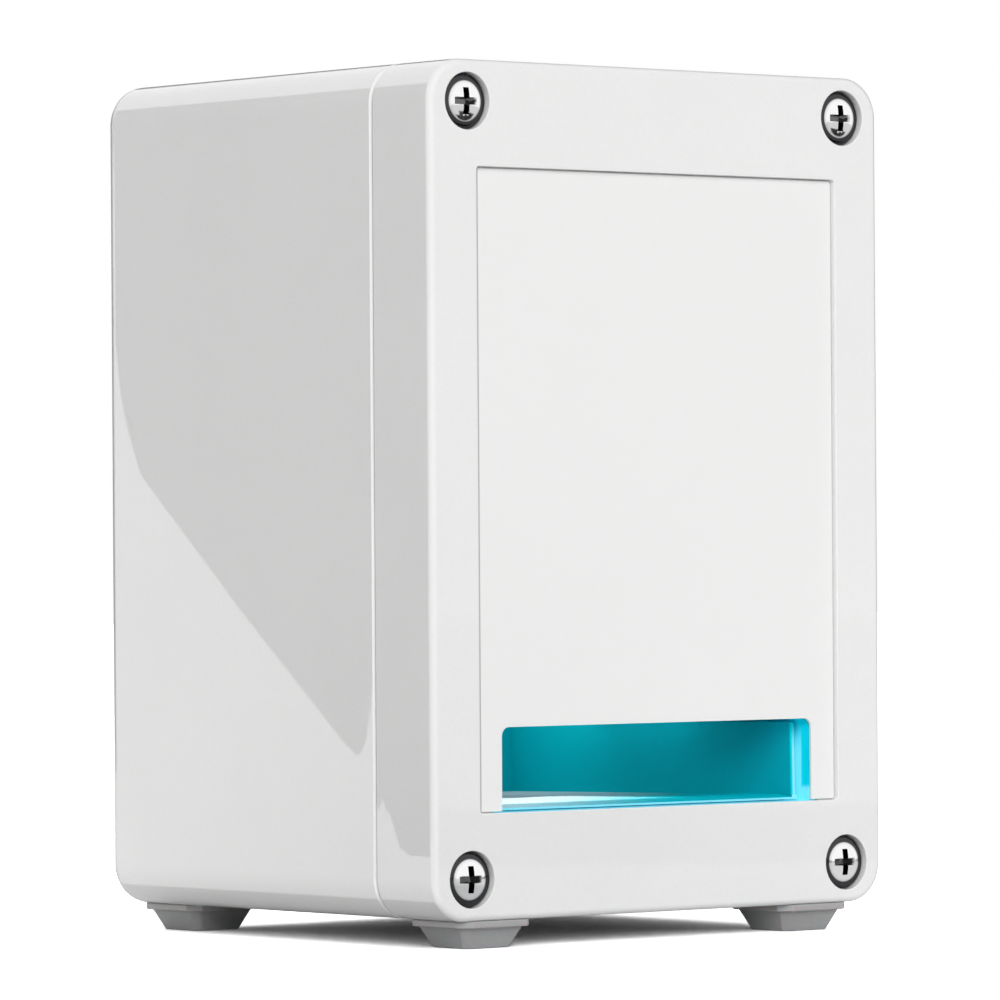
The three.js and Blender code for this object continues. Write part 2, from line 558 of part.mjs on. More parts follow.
function makeHood() {
  const plateHalf = bossX + bay.bossRadius;
  const plate = box(-plateHalf, plateHalf, plateFrontY, bayRearY, bayTopZ, plateTopZ);
  const [width, depth, topSize] = [2 * hoodHalf, hoodRearY - hoodFrontY, camera.board + 2 * hood.topMargin];
  const height = hoodTopZ - plateTopZ;
  const shroud = taperedBlock(width, depth, topSize, topSize, height + hood.top)
    .translate(0, hoodY, plateTopZ);
  const skirt = box(-hoodHalf, hoodHalf, hoodFrontY, hoodRearY,
    plateTopZ - hood.plate / 2, plateTopZ + hood.skirt);
  const inner = hood.wall * 2;
  const hollow = taperedBlock(width - inner, depth - inner, topSize - inner, topSize - inner, height)
    .translate(0, hoodY, plateTopZ);
  const apertureWidth = 2 * (slotX - hood.slotWidth / 2 - hood.apertureGap);
  const apertureOutline = rectangle(apertureWidth, depth - 2 * hood.apertureMargin, hood.wall);
  const aperture = prism(apertureOutline, hood.plate + 2 * overrun).translate(0, hoodY, bayTopZ - overrun);
  const slots = slotPlaces.map(([, x]) => box(x - hood.slotWidth / 2, x + hood.slotWidth / 2,
    hoodY - slotLength / 2, hoodY + slotLength / 2, bayTopZ - overrun, plateTopZ + overrun));
  const lensHole = pinAlongZ(hood.lens, hoodTopZ - overrun, hoodTopZ + hood.top + overrun, 0, hoodY);
  const posts = cameraPosts.map(([x, y]) =>
    pinAlongZ(camera.post, hoodTopZ + hood.top / 2, cameraZ, x, y, pinSides / 2));
  const postHoles = cameraPosts.map(([x, y]) =>
    pinAlongZ(tinyScrew.shank + clearance, cameraZ - tinyScrew.grip, cameraZ + overrun, x, y, pinSides / 2));
  const plateHoles = bossPlaces.map(([x, y]) =>
    pinAlongZ(smallScrew.shank + clearance, bayTopZ - overrun, plateTopZ + overrun, x, y, pinSides / 2));
  const whole = joined(cut(joined(plate, skirt, shroud), hollow), ...posts);
  add("light_hood", cut(whole, aperture, ...slots, lensHole, ...postHoles, ...plateHoles), "blackPlastic");
  bossPlaces.forEach(([x, y], index) => {
    addSmallScrew("hood_screw_" + (index + 1), smallScrew, [x, y, plateTopZ], headUp);
  });
}

function makeLamps() {
  const boardReach = slotLength / 2 + ledBoard.overhang;
  slotPlaces.forEach(([name, x]) => {
    const board = box(x - ledBoard.width / 2, x + ledBoard.width / 2, hoodY - boardReach, hoodY + boardReach,
      plateTopZ, plateTopZ + ledBoard.thickness);
    const chips = [...Array(ledBoard.chips).keys()].map((index) => {
      const y = hoodY + slotLength * ((index + 0.5) / ledBoard.chips - 0.5);
      return box(x - ledBoard.chip / 2, x + ledBoard.chip / 2, y - ledBoard.chip / 2, y + ledBoard.chip / 2,
        plateTopZ - ledBoard.chipHeight, plateTopZ + ledBoard.thickness / 2);
    });
    add("led_board_" + name, joined(board, ...chips), "boardGreen");
    const [halfWidth, halfLength] = [hood.slotWidth / 2 - clearance, slotLength / 2 - clearance];
    add("diffuser_" + name, box(x - halfWidth, x + halfWidth, hoodY - halfLength, hoodY + halfLength,
      bayTopZ, bayTopZ + diffuser.thickness), "opal");
  });
}

// Camera on the hood: board, lens holder, barrel and lens
function makeCamera() {
  const half = camera.board / 2;
  const topZ = cameraZ + camera.thickness;
  const holes = cameraPosts.map(([x, y]) =>
    pinAlongZ(tinyScrew.shank + clearance, cameraZ - overrun, topZ + overrun, x, y, pinSides / 2));
  const board = prism(rectangle(camera.board, camera.board, camera.postInset / 2), camera.thickness)
    .translate(0, hoodY, cameraZ);
  const plugRear = hoodY + half - clearance;
  const plug = box(-connector.width / 2, connector.width / 2, plugRear - connector.height, plugRear,
    topZ - camera.thickness / 2, topZ + camera.connectorHeight);
  add("camera_board", cut(joined(board, plug), ...holes), "boardGreen");
  cameraPosts.forEach(([x, y], index) => {
    addSmallScrew("camera_screw_" + (index + 1), tinyScrew, [x, y, topZ], headUp);
  });
  const holderHalf = holder.size / 2;
  const holderLowZ = cameraZ - holder.height;
  const block = box(-holderHalf, holderHalf, hoodY - holderHalf, hoodY + holderHalf, holderLowZ, cameraZ);
  add("lens_holder", cut(block, pinAlongZ(barrel.outer + clearance, holderLowZ - overrun,
    cameraZ - barrel.start + clearance, 0, hoodY)), "blackPlastic");
  const barrelTopZ = cameraZ - barrel.start;
  const barrelEndZ = barrelTopZ - barrel.length;
  const mouthRadii = [barrel.inner - barrel.lip, barrel.outer - clearance];
  add("lens_barrel", cut(
    pinAlongZ(barrel.outer, barrelEndZ, barrelTopZ, 0, hoodY),
    pinAlongZ(barrel.inner, barrelEndZ + barrel.lip, barrelTopZ + overrun, 0, hoodY),
    new THREE.CylinderGeometry(...mouthRadii, barrel.lip + overrun, pinSides)
      .rotateX(Math.PI / 2).translate(0, hoodY, barrelEndZ + barrel.lip / 2),
  ), "blackPlastic");
  const lensLow = glass.thickness / 2;
  const shoulder = [glass.radius * glass.shoulderShare, -lensLow - glass.crown * glass.shoulderShare];
  const profile = [[0, -lensLow - glass.crown], shoulder, [glass.radius, -lensLow],
    [glass.radius, lensLow], [0, lensLow]].map(([r, z]) => new THREE.Vector2(r, z));
  add("lens_glass", new THREE.LatheGeometry(profile, pinSides).rotateX(Math.PI / 2), "lensGlass")
    .position.set(0, hoodY, barrelEndZ + barrel.lip + glass.setback + lensLow);
}

// Main board on the rear wall, with its chip, connector and socket
function makeBoard() {
  const holes = boardPostPlaces.map(([x, z]) =>
    pinAlongY(smallScrew.shank + clearance, boardFrontY - overrun, boardRearY + overrun, x, z, pinSides / 2));
  const outline = rectangle(boardWidth, boardHighZ - boardLowZ, mainBoard.corner);
  const board = lying(outline, boardFrontY, boardRearY).translate(0, 0, boardZ);
  add("main_board", cut(board, ...holes), "boardGreen");
  boardPostPlaces.forEach(([x, z], index) => {
    addSmallScrew("board_screw_" + (index + 1), smallScrew, [x, boardFrontY, z], [0, 0, 0]);
  });
  const chipZ = boardZ + chip.z;
  const chipHalf = chip.size / 2;
  add("processor", box(chip.x - chipHalf, chip.x + chipHalf, boardFrontY - chip.thickness, boardFrontY,
    chipZ - chipHalf, chipZ + chipHalf), "blackPlastic");
  const plugZ = boardHighZ - connector.inset;
  add("camera_connector", box(-connector.width / 2, connector.width / 2, boardFrontY - connector.thickness,
    boardFrontY, plugZ - connector.height / 2, plugZ + connector.height / 2), "nylon");
  const shellRadius = socket.height * endRoundShare;
  const shell = rectangle(socket.width, socket.height, shellRadius);
  const [boreWidth, boreHeight] = [socket.width - 2 * socket.skin, socket.height - 2 * socket.skin];
  const bore = rectangle(boreWidth, boreHeight, shellRadius - socket.skin);
  const end = rearY - socket.setback;
  add("usb_socket", joined(
    cut(lying(shell, boardRearY, end).translate(0, 0, socketZ),
      lying(bore, boardRearY + socket.floor, end + overrun).translate(0, 0, socketZ)),
    box(-socket.tongueWidth / 2, socket.tongueWidth / 2, boardRearY + socket.floor / 2, end - overrun,
      socketZ - socket.tongue / 2, socketZ + socket.tongue / 2),
  ), "brightSteel");
}

// Flat cable from the camera board's connector, over and down into the main board's connector
function makeRibbon() {
  const start = new THREE.Vector2(hoodY + camera.board / 2,
    cameraZ + camera.thickness + camera.connectorHeight / 2);
  const end = new THREE.Vector2(boardFrontY - connector.thickness / 2,
    boardHighZ - connector.inset + connector.height / 2 + clearance);
  const route = new THREE.CubicBezierCurve(start, new THREE.Vector2((start.x + end.x) / 2, start.y),
    new THREE.Vector2(end.x, start.y), end);
  const edge = (offset) => [...Array(ribbon.steps + 1).keys()].map((step) => {
    const share = step / ribbon.steps;
    const along = route.getTangent(share);
    return route.getPoint(share).add(new THREE.Vector2(-along.y, along.x).multiplyScalar(offset));
  });
  const outline = new THREE.Shape([...edge(-ribbon.thickness / 2), ...edge(ribbon.thickness / 2).reverse()]);
  add("camera_ribbon", across(outline, -ribbon.width / 2, ribbon.width / 2), "ribbonFilm");
}

makeBody();
makeLid();
makeLidScrews();
makeLabel();
makeFeet();
makeBay();
makeBayFittings();
makeTray();
makeHood();
makeLamps();
makeCamera();
makeBoard();
makeRibbon();

export default reader;
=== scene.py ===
import json
import math
import bmesh
import bpy
from mathutils import Matrix, Vector


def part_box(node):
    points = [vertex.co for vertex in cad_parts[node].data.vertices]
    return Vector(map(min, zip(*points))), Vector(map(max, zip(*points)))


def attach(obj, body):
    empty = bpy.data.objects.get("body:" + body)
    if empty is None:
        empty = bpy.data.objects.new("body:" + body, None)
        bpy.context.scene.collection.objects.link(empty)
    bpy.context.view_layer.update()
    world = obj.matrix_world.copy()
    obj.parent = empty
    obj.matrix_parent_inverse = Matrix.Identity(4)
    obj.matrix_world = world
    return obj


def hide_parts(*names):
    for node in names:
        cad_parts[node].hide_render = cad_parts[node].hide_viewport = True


# Bench reader for test cassettes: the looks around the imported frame. Metres, +Z up, front towards -Y.
# Sizes and places in the pieces' dictionaries are in millimetres.
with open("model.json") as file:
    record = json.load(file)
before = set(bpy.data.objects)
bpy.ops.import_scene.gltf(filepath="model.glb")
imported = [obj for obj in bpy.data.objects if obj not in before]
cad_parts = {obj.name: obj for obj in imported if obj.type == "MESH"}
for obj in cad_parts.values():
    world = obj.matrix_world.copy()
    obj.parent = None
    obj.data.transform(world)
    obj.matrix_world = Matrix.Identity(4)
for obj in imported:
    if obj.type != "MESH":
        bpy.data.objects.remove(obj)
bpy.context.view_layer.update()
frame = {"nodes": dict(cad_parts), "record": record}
mm = 0.001
nodes = frame["nodes"]
print("frame loaded:", len(nodes), "nodes")


# Modelling helpers: one piece at a time is selected, active and worked on
def takeOnly(piece):
    bpy.ops.object.select_all(action="DESELECT")
    piece.select_set(True)
    bpy.context.view_layer.objects.active = piece


def namePiece(name):
    piece = bpy.context.active_object
    piece.name = piece.data.name = name
    bpy.ops.object.transform_apply(location=True, rotation=True, scale=True)
    return piece


def addBlock(name, low, high):
    low, high = Vector(low) * mm, Vector(high) * mm
    bpy.ops.object.select_all(action="DESELECT")
    bpy.ops.mesh.primitive_cube_add(size=1, location=(low + high) / 2, scale=high - low)
    return namePiece(name)


# A pin along Y
def addPin(name, radius, low, high, sides=48):
    low, high = Vector(low) * mm, Vector(high) * mm
    bpy.ops.object.select_all(action="DESELECT")
    bpy.ops.mesh.primitive_cylinder_add(vertices=sides, radius=radius * mm, depth=(high - low).length,
                                        location=(low + high) / 2, rotation=(math.pi / 2, 0, 0))
    return namePiece(name)


def startEdit(piece, kind="EDGE"):
    takeOnly(piece)
    bpy.ops.object.mode_set(mode="EDIT")
    bpy.ops.mesh.select_mode(type=kind)
    bpy.ops.mesh.select_all(action="DESELECT")


def endEdit():
    bpy.ops.object.mode_set(mode="OBJECT")


# Selects the vertices, edges or faces whose test is true; the test gets their corners in millimetres
def pick(piece, kind, test):
    bpy.ops.mesh.select_mode(type=kind)
    bpy.ops.mesh.select_all(action="DESELECT")
    mesh = bmesh.from_edit_mesh(piece.data)
    items = {"VERT": mesh.verts, "EDGE": mesh.edges, "FACE": mesh.faces}[kind]
    for item in items:
        corners = [item] if kind == "VERT" else item.verts
        places = [corner.co / mm for corner in corners]
        if test(places, item):
            item.select_set(True)
    bmesh.update_edit_mesh(piece.data)


def near(value, target, slack=0.02):
    return abs(value - target) < slack


def allAt(places, axis, target):
    return all(near(place["XYZ".index(axis)], target) for place in places)


# Tests for pick: what lies in a plane, and edges that run along an axis
def onPlane(axis, target):
    return lambda places, item: allAt(places, axis, target)


def along(axis):
    across = [index for index in range(3) if index != "XYZ".index(axis)]
    return lambda places, item: all(near(places[0][index], places[1][index]) for index in across)


def roundEdges(piece, test, radius, segments):
    startEdit(piece)
    pick(piece, "EDGE", test)
    bpy.ops.mesh.bevel(offset=radius * mm, segments=segments, profile=0.5, affect="EDGES",
                       clamp_overlap=False)
    endEdit()
    return piece


def applyModifier(piece, kind, **settings):
    takeOnly(piece)
    modifier = piece.modifiers.new(kind.title(), kind)
    for name, value in settings.items():
        setattr(modifier, name, value)
    bpy.ops.object.modifier_apply(modifier=modifier.name)


def bevelCorners(piece, width, segments, angle):
    applyModifier(piece, "BEVEL", width=width * mm, segments=segments, limit_method="ANGLE",
                  angle_limit=math.radians(angle), use_clamp_overlap=True)


def workWith(piece, tools, operation):
    for tool in tools:
        applyModifier(piece, "BOOLEAN", operation=operation, solver="EXACT", object=tool)
        bpy.data.objects.remove(tool, do_unlink=True)
    return piece


def joinOn(piece, *tools):
    return workWith(piece, tools, "UNION")


def cutOut(piece, *tools):
    return workWith(piece, tools, "DIFFERENCE")


# Tools that don't touch each other, as one object
def together(tools):
    bpy.ops.object.select_all(action="DESELECT")
    for tool in tools:
        tool.select_set(True)
    bpy.context.view_layer.objects.active = tools[0]
    bpy.ops.object.join()
    return bpy.context.active_object


def smooth(piece, angle=35):
    takeOnly(piece)
    bpy.ops.object.shade_smooth_by_angle(angle=math.radians(angle))
    applyModifier(piece, "WEIGHTED_NORMAL", keep_sharp=True, weight=100)


def copyPiece(piece, name, offset=(0, 0, 0)):
    copy = piece.copy()
    copy.data = piece.data.copy()
    copy.name = copy.data.name = name
    bpy.context.scene.collection.objects.link(copy)
    copy.data.transform(Matrix.Translation(Vector(offset) * mm))
    return copy


def place(piece, body, slotName, material, *replaced):
    piece.data.materials.clear()
    piece.data.materials.append(material)
    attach(piece, body)
    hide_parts(*replaced)


# Places read from the frame, in millimetres
def boxOf(name):
    low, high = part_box(name)
    return low / mm, high / mm


# The axes, as X and Z, of four pins along Y whose names end in 1 to 4
def axesOf(name):
    boxes = [boxOf("%s_%d" % (name, index)) for index in range(1, 5)]
    return [((low.x + high.x) / 2, (low.z + high.z) / 2) for low, high in boxes]


caseHigh = boxOf("body_shell")[1]
lidLow, lidHigh = boxOf("front_lid")
labelLow, labelHigh = boxOf("front_label")
bayLow, bayHigh = boxOf("bay_housing")
socketLow, socketHigh = boxOf("usb_socket")
screwLow, screwHigh = boxOf("lid_screw_1")

shape = {
    "cornerRadius": 5.8, "wall": 3.0, "lidFace": 3.6, "arcSteps": 14, "columnRadius": 5.0,
    "seamGap": 0.12, "seamEdge": 0.3, "sealInset": 1.2, "sealWidth": 0.8, "tongue": 1.2,
    "screwHead": 2.5, "clearance": 0.3, "overrun": 1.0,
}
window = {"reach": 29.05, "low": 19.0, "top": 30.9, "snoutWall": 1.2}
columnPlaces = axesOf("lid_screw")
seamY = lidHigh.y
lidInnerY = lidLow.y + shape["lidFace"]
bodyInnerY = caseHigh.y - shape["wall"]
screwSeatY = screwLow.y + shape["screwHead"]
overrun = shape["overrun"]  # how far tools reach past what they cut or join


# Materials: nodes from plain settings, where a name with a space comes as a dictionary's key
def addNode(tree, kind, **values):
    node = tree.nodes.new(kind)
    for name, value in values.items():
        if name in node.inputs:
            node.inputs[name].default_value = value
        else:
            setattr(node, name, value)
    return node


def mapRange(tree, value, start, end, low=0.0, high=1.0, curve="LINEAR"):
    limits = {"From Min": start, "From Max": end, "To Min": low, "To Max": high}
    node = addNode(tree, "ShaderNodeMapRange", interpolation_type=curve, **limits)
    tree.links.new(value, node.inputs["Value"])
    return node.outputs["Result"]


# Noise that all finishes share, which swings around a half between low and high
grain = {
    "fine": {"Detail": 3.0, "Roughness": 0.6}, "broad": {"Detail": 2.0, "Roughness": 0.5},
    "broadShare": 0.35, "low": 0.3, "high": 0.7,
}


# Fine moulding grain and broad cloudiness
def makeGrainGroup():
    group = bpy.data.node_groups.new("mouldedGrain", "ShaderNodeTree")
    group.interface.new_socket(name="Vector", in_out="INPUT", socket_type="NodeSocketVector")
    group.interface.new_socket(name="Grain Scale", in_out="INPUT", socket_type="NodeSocketFloat")
    group.interface.new_socket(name="Broad Scale", in_out="INPUT", socket_type="NodeSocketFloat")
    group.interface.new_socket(name="Fine", in_out="OUTPUT", socket_type="NodeSocketFloat")
    group.interface.new_socket(name="Broad", in_out="OUTPUT", socket_type="NodeSocketFloat")
    start = group.nodes.new("NodeGroupInput")
    end = group.nodes.new("NodeGroupOutput")
    fine = addNode(group, "ShaderNodeTexNoise", **grain["fine"])
    broad = addNode(group, "ShaderNodeTexNoise", **grain["broad"])
    for noise, scale, out in ((fine, "Grain Scale", "Fine"), (broad, "Broad Scale", "Broad")):
        group.links.new(start.outputs["Vector"], noise.inputs["Vector"])
        group.links.new(start.outputs[scale], noise.inputs["Scale"])
        group.links.new(noise.outputs["Fac"], end.inputs[out])
    return group


grainGroup = makeGrainGroup()


# A Principled material whose colour and roughness vary a little with grain and cloudiness
def makeMaterial(name, dark, light, rough, grainScale=2600.0, broadScale=45.0, bump=0.02, bumpDepth=0.02,
                 **sockets):
    material = bpy.data.materials.new(name)
    material.use_nodes = True
    tree = material.node_tree
    shader = tree.nodes["Principled BSDF"]
    coordinates = addNode(tree, "ShaderNodeTexCoord")
    noise = tree.nodes.new("ShaderNodeGroup")
    noise.node_tree = grainGroup
    noise.inputs["Grain Scale"].default_value = grainScale
    noise.inputs["Broad Scale"].default_value = broadScale
    tree.links.new(coordinates.outputs["Object"], noise.inputs["Vector"])
    blend = addNode(tree, "ShaderNodeMix", Factor=grain["broadShare"])
    tree.links.new(noise.outputs["Fine"], blend.inputs["A"])
    tree.links.new(noise.outputs["Broad"], blend.inputs["B"])
    colour = addNode(tree, "ShaderNodeMix", data_type="RGBA")
    colour.inputs["A"].default_value = (*dark, 1)
    colour.inputs["B"].default_value = (*light, 1)
    tree.links.new(blend.outputs["Result"], colour.inputs["Factor"])
    tree.links.new(colour.outputs["Result"], shader.inputs["Base Color"])
    tree.links.new(mapRange(tree, noise.outputs["Broad"], grain["low"], grain["high"], *rough),
                   shader.inputs["Roughness"])
    raised = addNode(tree, "ShaderNodeBump", Strength=bump, Distance=bumpDepth * mm)
    tree.links.new(noise.outputs["Fine"], raised.inputs["Height"])
    tree.links.new(raised.outputs["Normal"], shader.inputs["Normal"])
    for socket, value in sockets.items():
        shader.inputs[socket.replace("_", " ")].default_value = value
    return material


# Mixes a second colour into a material where the mask is 1
def paint(material, colour, mask):
    tree = material.node_tree
    shader = tree.nodes["Principled BSDF"]
    mixed = addNode(tree, "ShaderNodeMix", data_type="RGBA")
    mixed.inputs["B"].default_value = (*colour, 1)
    tree.links.new(shader.inputs["Base Color"].links[0].from_socket, mixed.inputs["A"])
    tree.links.new(mask, mixed.inputs["Factor"])
    tree.links.new(mixed.outputs["Result"], shader.inputs["Base Color"])


# Painted light: a faint glow of its own where the mask is 1
def lightUp(material, colour, mask, strength):
    tree = material.node_tree
    shader = tree.nodes["Principled BSDF"]
    lit = addNode(tree, "ShaderNodeMix", data_type="RGBA")
    lit.inputs["A"].default_value = (0, 0, 0, 1)
    lit.inputs["B"].default_value = (*colour, 1)
    tree.links.new(mask, lit.inputs["Factor"])
    tree.links.new(lit.outputs["Result"], shader.inputs["Emission Color"])
    shader.inputs["Emission Strength"].default_value = strength


# Masks from the surface's own place and direction
def measure(tree, source, direction):
    coordinates = addNode(tree, "ShaderNodeTexCoord")
    dot = addNode(tree, "ShaderNodeVectorMath", operation="DOT_PRODUCT")
    dot.inputs[1].default_value = direction
    tree.links.new(coordinates.outputs[source], dot.inputs[0])
    return dot.outputs["Value"]


# From 0 to 1 between two places along a direction
def placeMask(tree, direction, start, full):
    distance = measure(tree, "Object", [part / mm for part in direction])
    return mapRange(tree, distance, start, full, curve="SMOOTHSTEP")


facing = {"start": 0.8, "full": 0.95}  # cosines of the angle to the direction


# 1 where the surface faces a direction
def facingMask(tree, direction):
    return mapRange(tree, measure(tree, "Normal", direction), facing["start"], facing["full"],
                    curve="SMOOTHSTEP")


def combine(tree, operation, *values):
    total = values[0]
    for value in values[1:]:
        node = addNode(tree, "ShaderNodeMath", operation=operation)
        tree.links.new(total, node.inputs[0])
        tree.links.new(value, node.inputs[1])
        total = node.outputs[0]
    return total


# Distance from the nearest lid screw's axis, in metres
def screwDistance(tree):
    (x0, z0), (_, z1) = columnPlaces[0], columnPlaces[-1]
    middle = (z0 + z1) / 2
    steps = (("SUBTRACT", Vector((0, 0, middle)) * mm), ("ABSOLUTE", None),
             ("SUBTRACT", Vector((abs(x0), 0, abs(z0 - middle))) * mm),
             ("MULTIPLY", (1, 0, 1)), ("LENGTH", None))
    coordinates = addNode(tree, "ShaderNodeTexCoord")
    value = coordinates.outputs["Object"]
    for operation, amount in steps:
        step = addNode(tree, "ShaderNodeVectorMath", operation=operation)
        if amount:
            step.inputs[1].default_value = amount
        tree.links.new(value, step.inputs[0])
        value = step.outputs["Value" if operation == "LENGTH" else "Vector"]
    return value


# Glossy case plastic, bare film, rubbers and other plastics
casePlastic = makeMaterial("casePlastic", (0.762, 0.762, 0.759), (0.852, 0.852, 0.848), (0.004, 0.012),
                           bumpDepth=0.004)
labelFilm = makeMaterial("labelFilm", (0.82, 0.82, 0.815), (0.85, 0.85, 0.845), (0.42, 0.5), bump=0.08)
tealPlastic = makeMaterial("tealPlastic", (0.001, 0.76, 0.93), (0.001, 0.82, 0.99), (0.45, 0.55),
                           grainScale=1800.0, bump=0.1, bumpDepth=0.01, Specular_IOR_Level=0.1)
trayPlastic = makeMaterial("trayPlastic", (0.0005, 0.58, 0.67), (0.0005, 0.65, 0.75), (0.45, 0.55),
                           grainScale=1800.0, bump=0.1, bumpDepth=0.01, Specular_IOR_Level=0.05)
footRubber = makeMaterial("footRubber", (0.33, 0.33, 0.335), (0.42, 0.42, 0.425), (0.45, 0.6),
                          grainScale=1400.0, broadScale=180.0, bump=0.3, bumpDepth=0.03,
                          Subsurface_Weight=0.3, Subsurface_Scale=0.004)
sealRubber = makeMaterial("sealRubber", (0.14, 0.14, 0.145), (0.18, 0.18, 0.185), (0.6, 0.75), bump=0.2)
blackPlastic = makeMaterial("blackPlastic", (0.012, 0.012, 0.013), (0.022, 0.022, 0.023), (0.45, 0.6),
                            bump=0.3)
runnerNylon = makeMaterial("runnerNylon", (0.68, 0.68, 0.66), (0.76, 0.76, 0.74), (0.35, 0.5), bump=0.15)
opalPlastic = makeMaterial("opalPlastic", (0.85, 0.88, 0.9), (0.92, 0.94, 0.95), (0.4, 0.5), bump=0.05,
                           Emission_Color=(0.93, 0.98, 1.0, 1), Emission_Strength=0.8)
whiteTile = makeMaterial("whiteTile", (0.86, 0.86, 0.85), (0.9, 0.9, 0.89), (0.5, 0.65), bump=0.1)
lensGlass = makeMaterial("lensGlass", (0.55, 0.6, 0.75), (0.6, 0.68, 0.8), (0.02, 0.04), bump=0.0,
                         Transmission_Weight=0.9, Coat_Weight=0.5)

# Metals
brightScrew = makeMaterial("brightScrew", (0.9, 0.9, 0.9), (0.97, 0.97, 0.97), (0.07, 0.12),
                           grainScale=900.0, broadScale=260.0, bump=0.05, Metallic=1.0)
socketSteel = makeMaterial("socketSteel", (0.72, 0.72, 0.73), (0.82, 0.82, 0.83), (0.16, 0.26),
                           grainScale=1100.0, bump=0.05, Metallic=1.0)
plainScrew = makeMaterial("plainScrew", (0.42, 0.42, 0.43), (0.55, 0.55, 0.55), (0.22, 0.34),
                          grainScale=1200.0, bump=0.1, Metallic=1.0)
springSteel = makeMaterial("springSteel", (0.45, 0.45, 0.44), (0.55, 0.55, 0.53), (0.2, 0.32),
                           grainScale=1600.0, bump=0.1, Metallic=1.0)
insertBrass = makeMaterial("insertBrass", (0.58, 0.4, 0.11), (0.66, 0.48, 0.16), (0.25, 0.4),
                           grainScale=1500.0, bump=0.15, Metallic=1.0)

# Green solder mask with paler traces; the pattern's sizes are in metres
boardTraces = {"Scale": 1.0, "Color1": (0, 0, 0, 1), "Color2": (0, 0, 0, 1), "Mortar": (1, 1, 1, 1),
               "Mortar Size": 0.0003, "Brick Width": 0.0062, "Row Height": 0.0017}


def makeBoardMaterial():
    material = makeMaterial("circuitBoard", (0.008, 0.07, 0.03), (0.014, 0.1, 0.045), (0.3, 0.42), bump=0.05)
    tree = material.node_tree
    coordinates = addNode(tree, "ShaderNodeTexCoord")
    turned = addNode(tree, "ShaderNodeMapping", Rotation=(math.pi / 2, 0, 0))
    traces = addNode(tree, "ShaderNodeTexBrick", **boardTraces)
    tree.links.new(coordinates.outputs["Object"], turned.inputs["Vector"])
    tree.links.new(turned.outputs["Vector"], traces.inputs["Vector"])
    paint(material, (0.03, 0.19, 0.08), traces.outputs["Color"])
    return material


# Amber film over parallel copper tracks
def makeRibbonMaterial():
    material = makeMaterial("ribbonFilm", (0.55, 0.33, 0.08), (0.62, 0.4, 0.12), (0.25, 0.35), bump=0.05)
    tree = material.node_tree
    coordinates = addNode(tree, "ShaderNodeTexCoord")
    tracks = addNode(tree, "ShaderNodeTexWave", bands_direction="X", Scale=320.0)
    tree.links.new(coordinates.outputs["Object"], tracks.inputs["Vector"])
    paint(material, (0.32, 0.16, 0.04), tracks.outputs["Fac"])
    return material


circuitBoard = makeBoardMaterial()
ribbonFilm = makeRibbonMaterial()

# Painted shade on the lid screws' heads: a dark ring on the edge stands in for dark reflections and shadow in
# the counterbore, and the inside of the cross is painted dark for its shade
headPaintedShade = {"crown": 2.95, "edge": 2.75, "dark": (0.06, 0.06, 0.064), "crossTop": -37.75,
              "crossFloor": -37.3, "crossShade": (0.15, 0.15, 0.155)}


def paintHeadShade():
    finish, tree = headPaintedShade, brightScrew.node_tree
    # Painted shade inside the cross recess
    crossShadeMask = placeMask(tree, (0, 1, 0), finish["crossTop"], finish["crossFloor"])
    paint(brightScrew, finish["crossShade"], crossShadeMask)
    # Painted dark reflection and shadow as a ring round the head's edge
    edgeShadeMask = mapRange(tree, screwDistance(tree), finish["edge"] * mm, finish["crown"] * mm,
                      curve="SMOOTHSTEP")
    paint(brightScrew, finish["dark"], edgeShadeMask)


# Painted light and shade on the tray: painted shade darkens the walls towards the front, a painted reflection
# of light makes the floor pale at the front left, and a painted highlight makes the front ends pale low down
wallPaintedShade = {"start": -6, "full": -30, "colour": (0.0005, 0.41, 0.49)}
floorPaintedLight = {"direction": (1, -1.15, 0), "pale": 12, "teal": 44, "colour": (0.72, 0.91, 0.975)}
endPaintedHighlight = {"top": 30.5, "pale": 25.5, "start": -33.5, "full": -34.0, "colour": (0.29, 0.76, 0.88)}


def paintTrayLightAndShade():
    tree = trayPlastic.node_tree
    # Painted shade: walls deeper in colour towards the front
    paint(trayPlastic, wallPaintedShade["colour"], combine(
        tree, "MULTIPLY", facingMask(tree, (-1, 0, 0)),
        placeMask(tree, (0, 1, 0), wallPaintedShade["start"], wallPaintedShade["full"])))
    # Painted reflection of light: the floor pale at the front left, fading to teal
    paint(trayPlastic, floorPaintedLight["colour"], combine(
        tree, "MULTIPLY", facingMask(tree, (0, 0, 1)),
        placeMask(tree, floorPaintedLight["direction"], floorPaintedLight["teal"], floorPaintedLight["pale"])))
    # Painted highlight: the front end faces pale low down
    paint(trayPlastic, endPaintedHighlight["colour"], combine(
        tree, "MULTIPLY", facingMask(tree, (0, -1, 0)),
        placeMask(tree, (0, 0, 1), endPaintedHighlight["top"], endPaintedHighlight["pale"]),
        placeMask(tree, (0, 1, 0), endPaintedHighlight["start"], endPaintedHighlight["full"])))


# Painted shade along the film's left edge: a thin grey line where the film meets the recess wall
filmEdgeShade = {"width": 0.42, "fade": 0.12, "colour": (0.45, 0.45, 0.445)}


def paintFilmEdgeShade():
    edgeX = labelLow.x + filmEdgeShade["width"]
    leftEdgeShadeMask = placeMask(labelFilm.node_tree, (1, 0, 0), edgeX + filmEdgeShade["fade"], edgeX)
    # Painted shade on the film's left edge
    paint(labelFilm, filmEdgeShade["colour"], leftEdgeShadeMask)


# Painted light on the bay: its walls and floor are painted pale, and glow a little, where they meet the
# tray's front, as a painted highlight there
joinPaintedLight = {"start": -35.5, "full": -35.1, "deepStart": -31.0, "deepFull": -32.0, "top": 30.5, "pale": 25.5,
            "floorTop": 21.4, "floor": 20.6, "colour": (0.17, 0.7, 0.84), "light": 0.36}


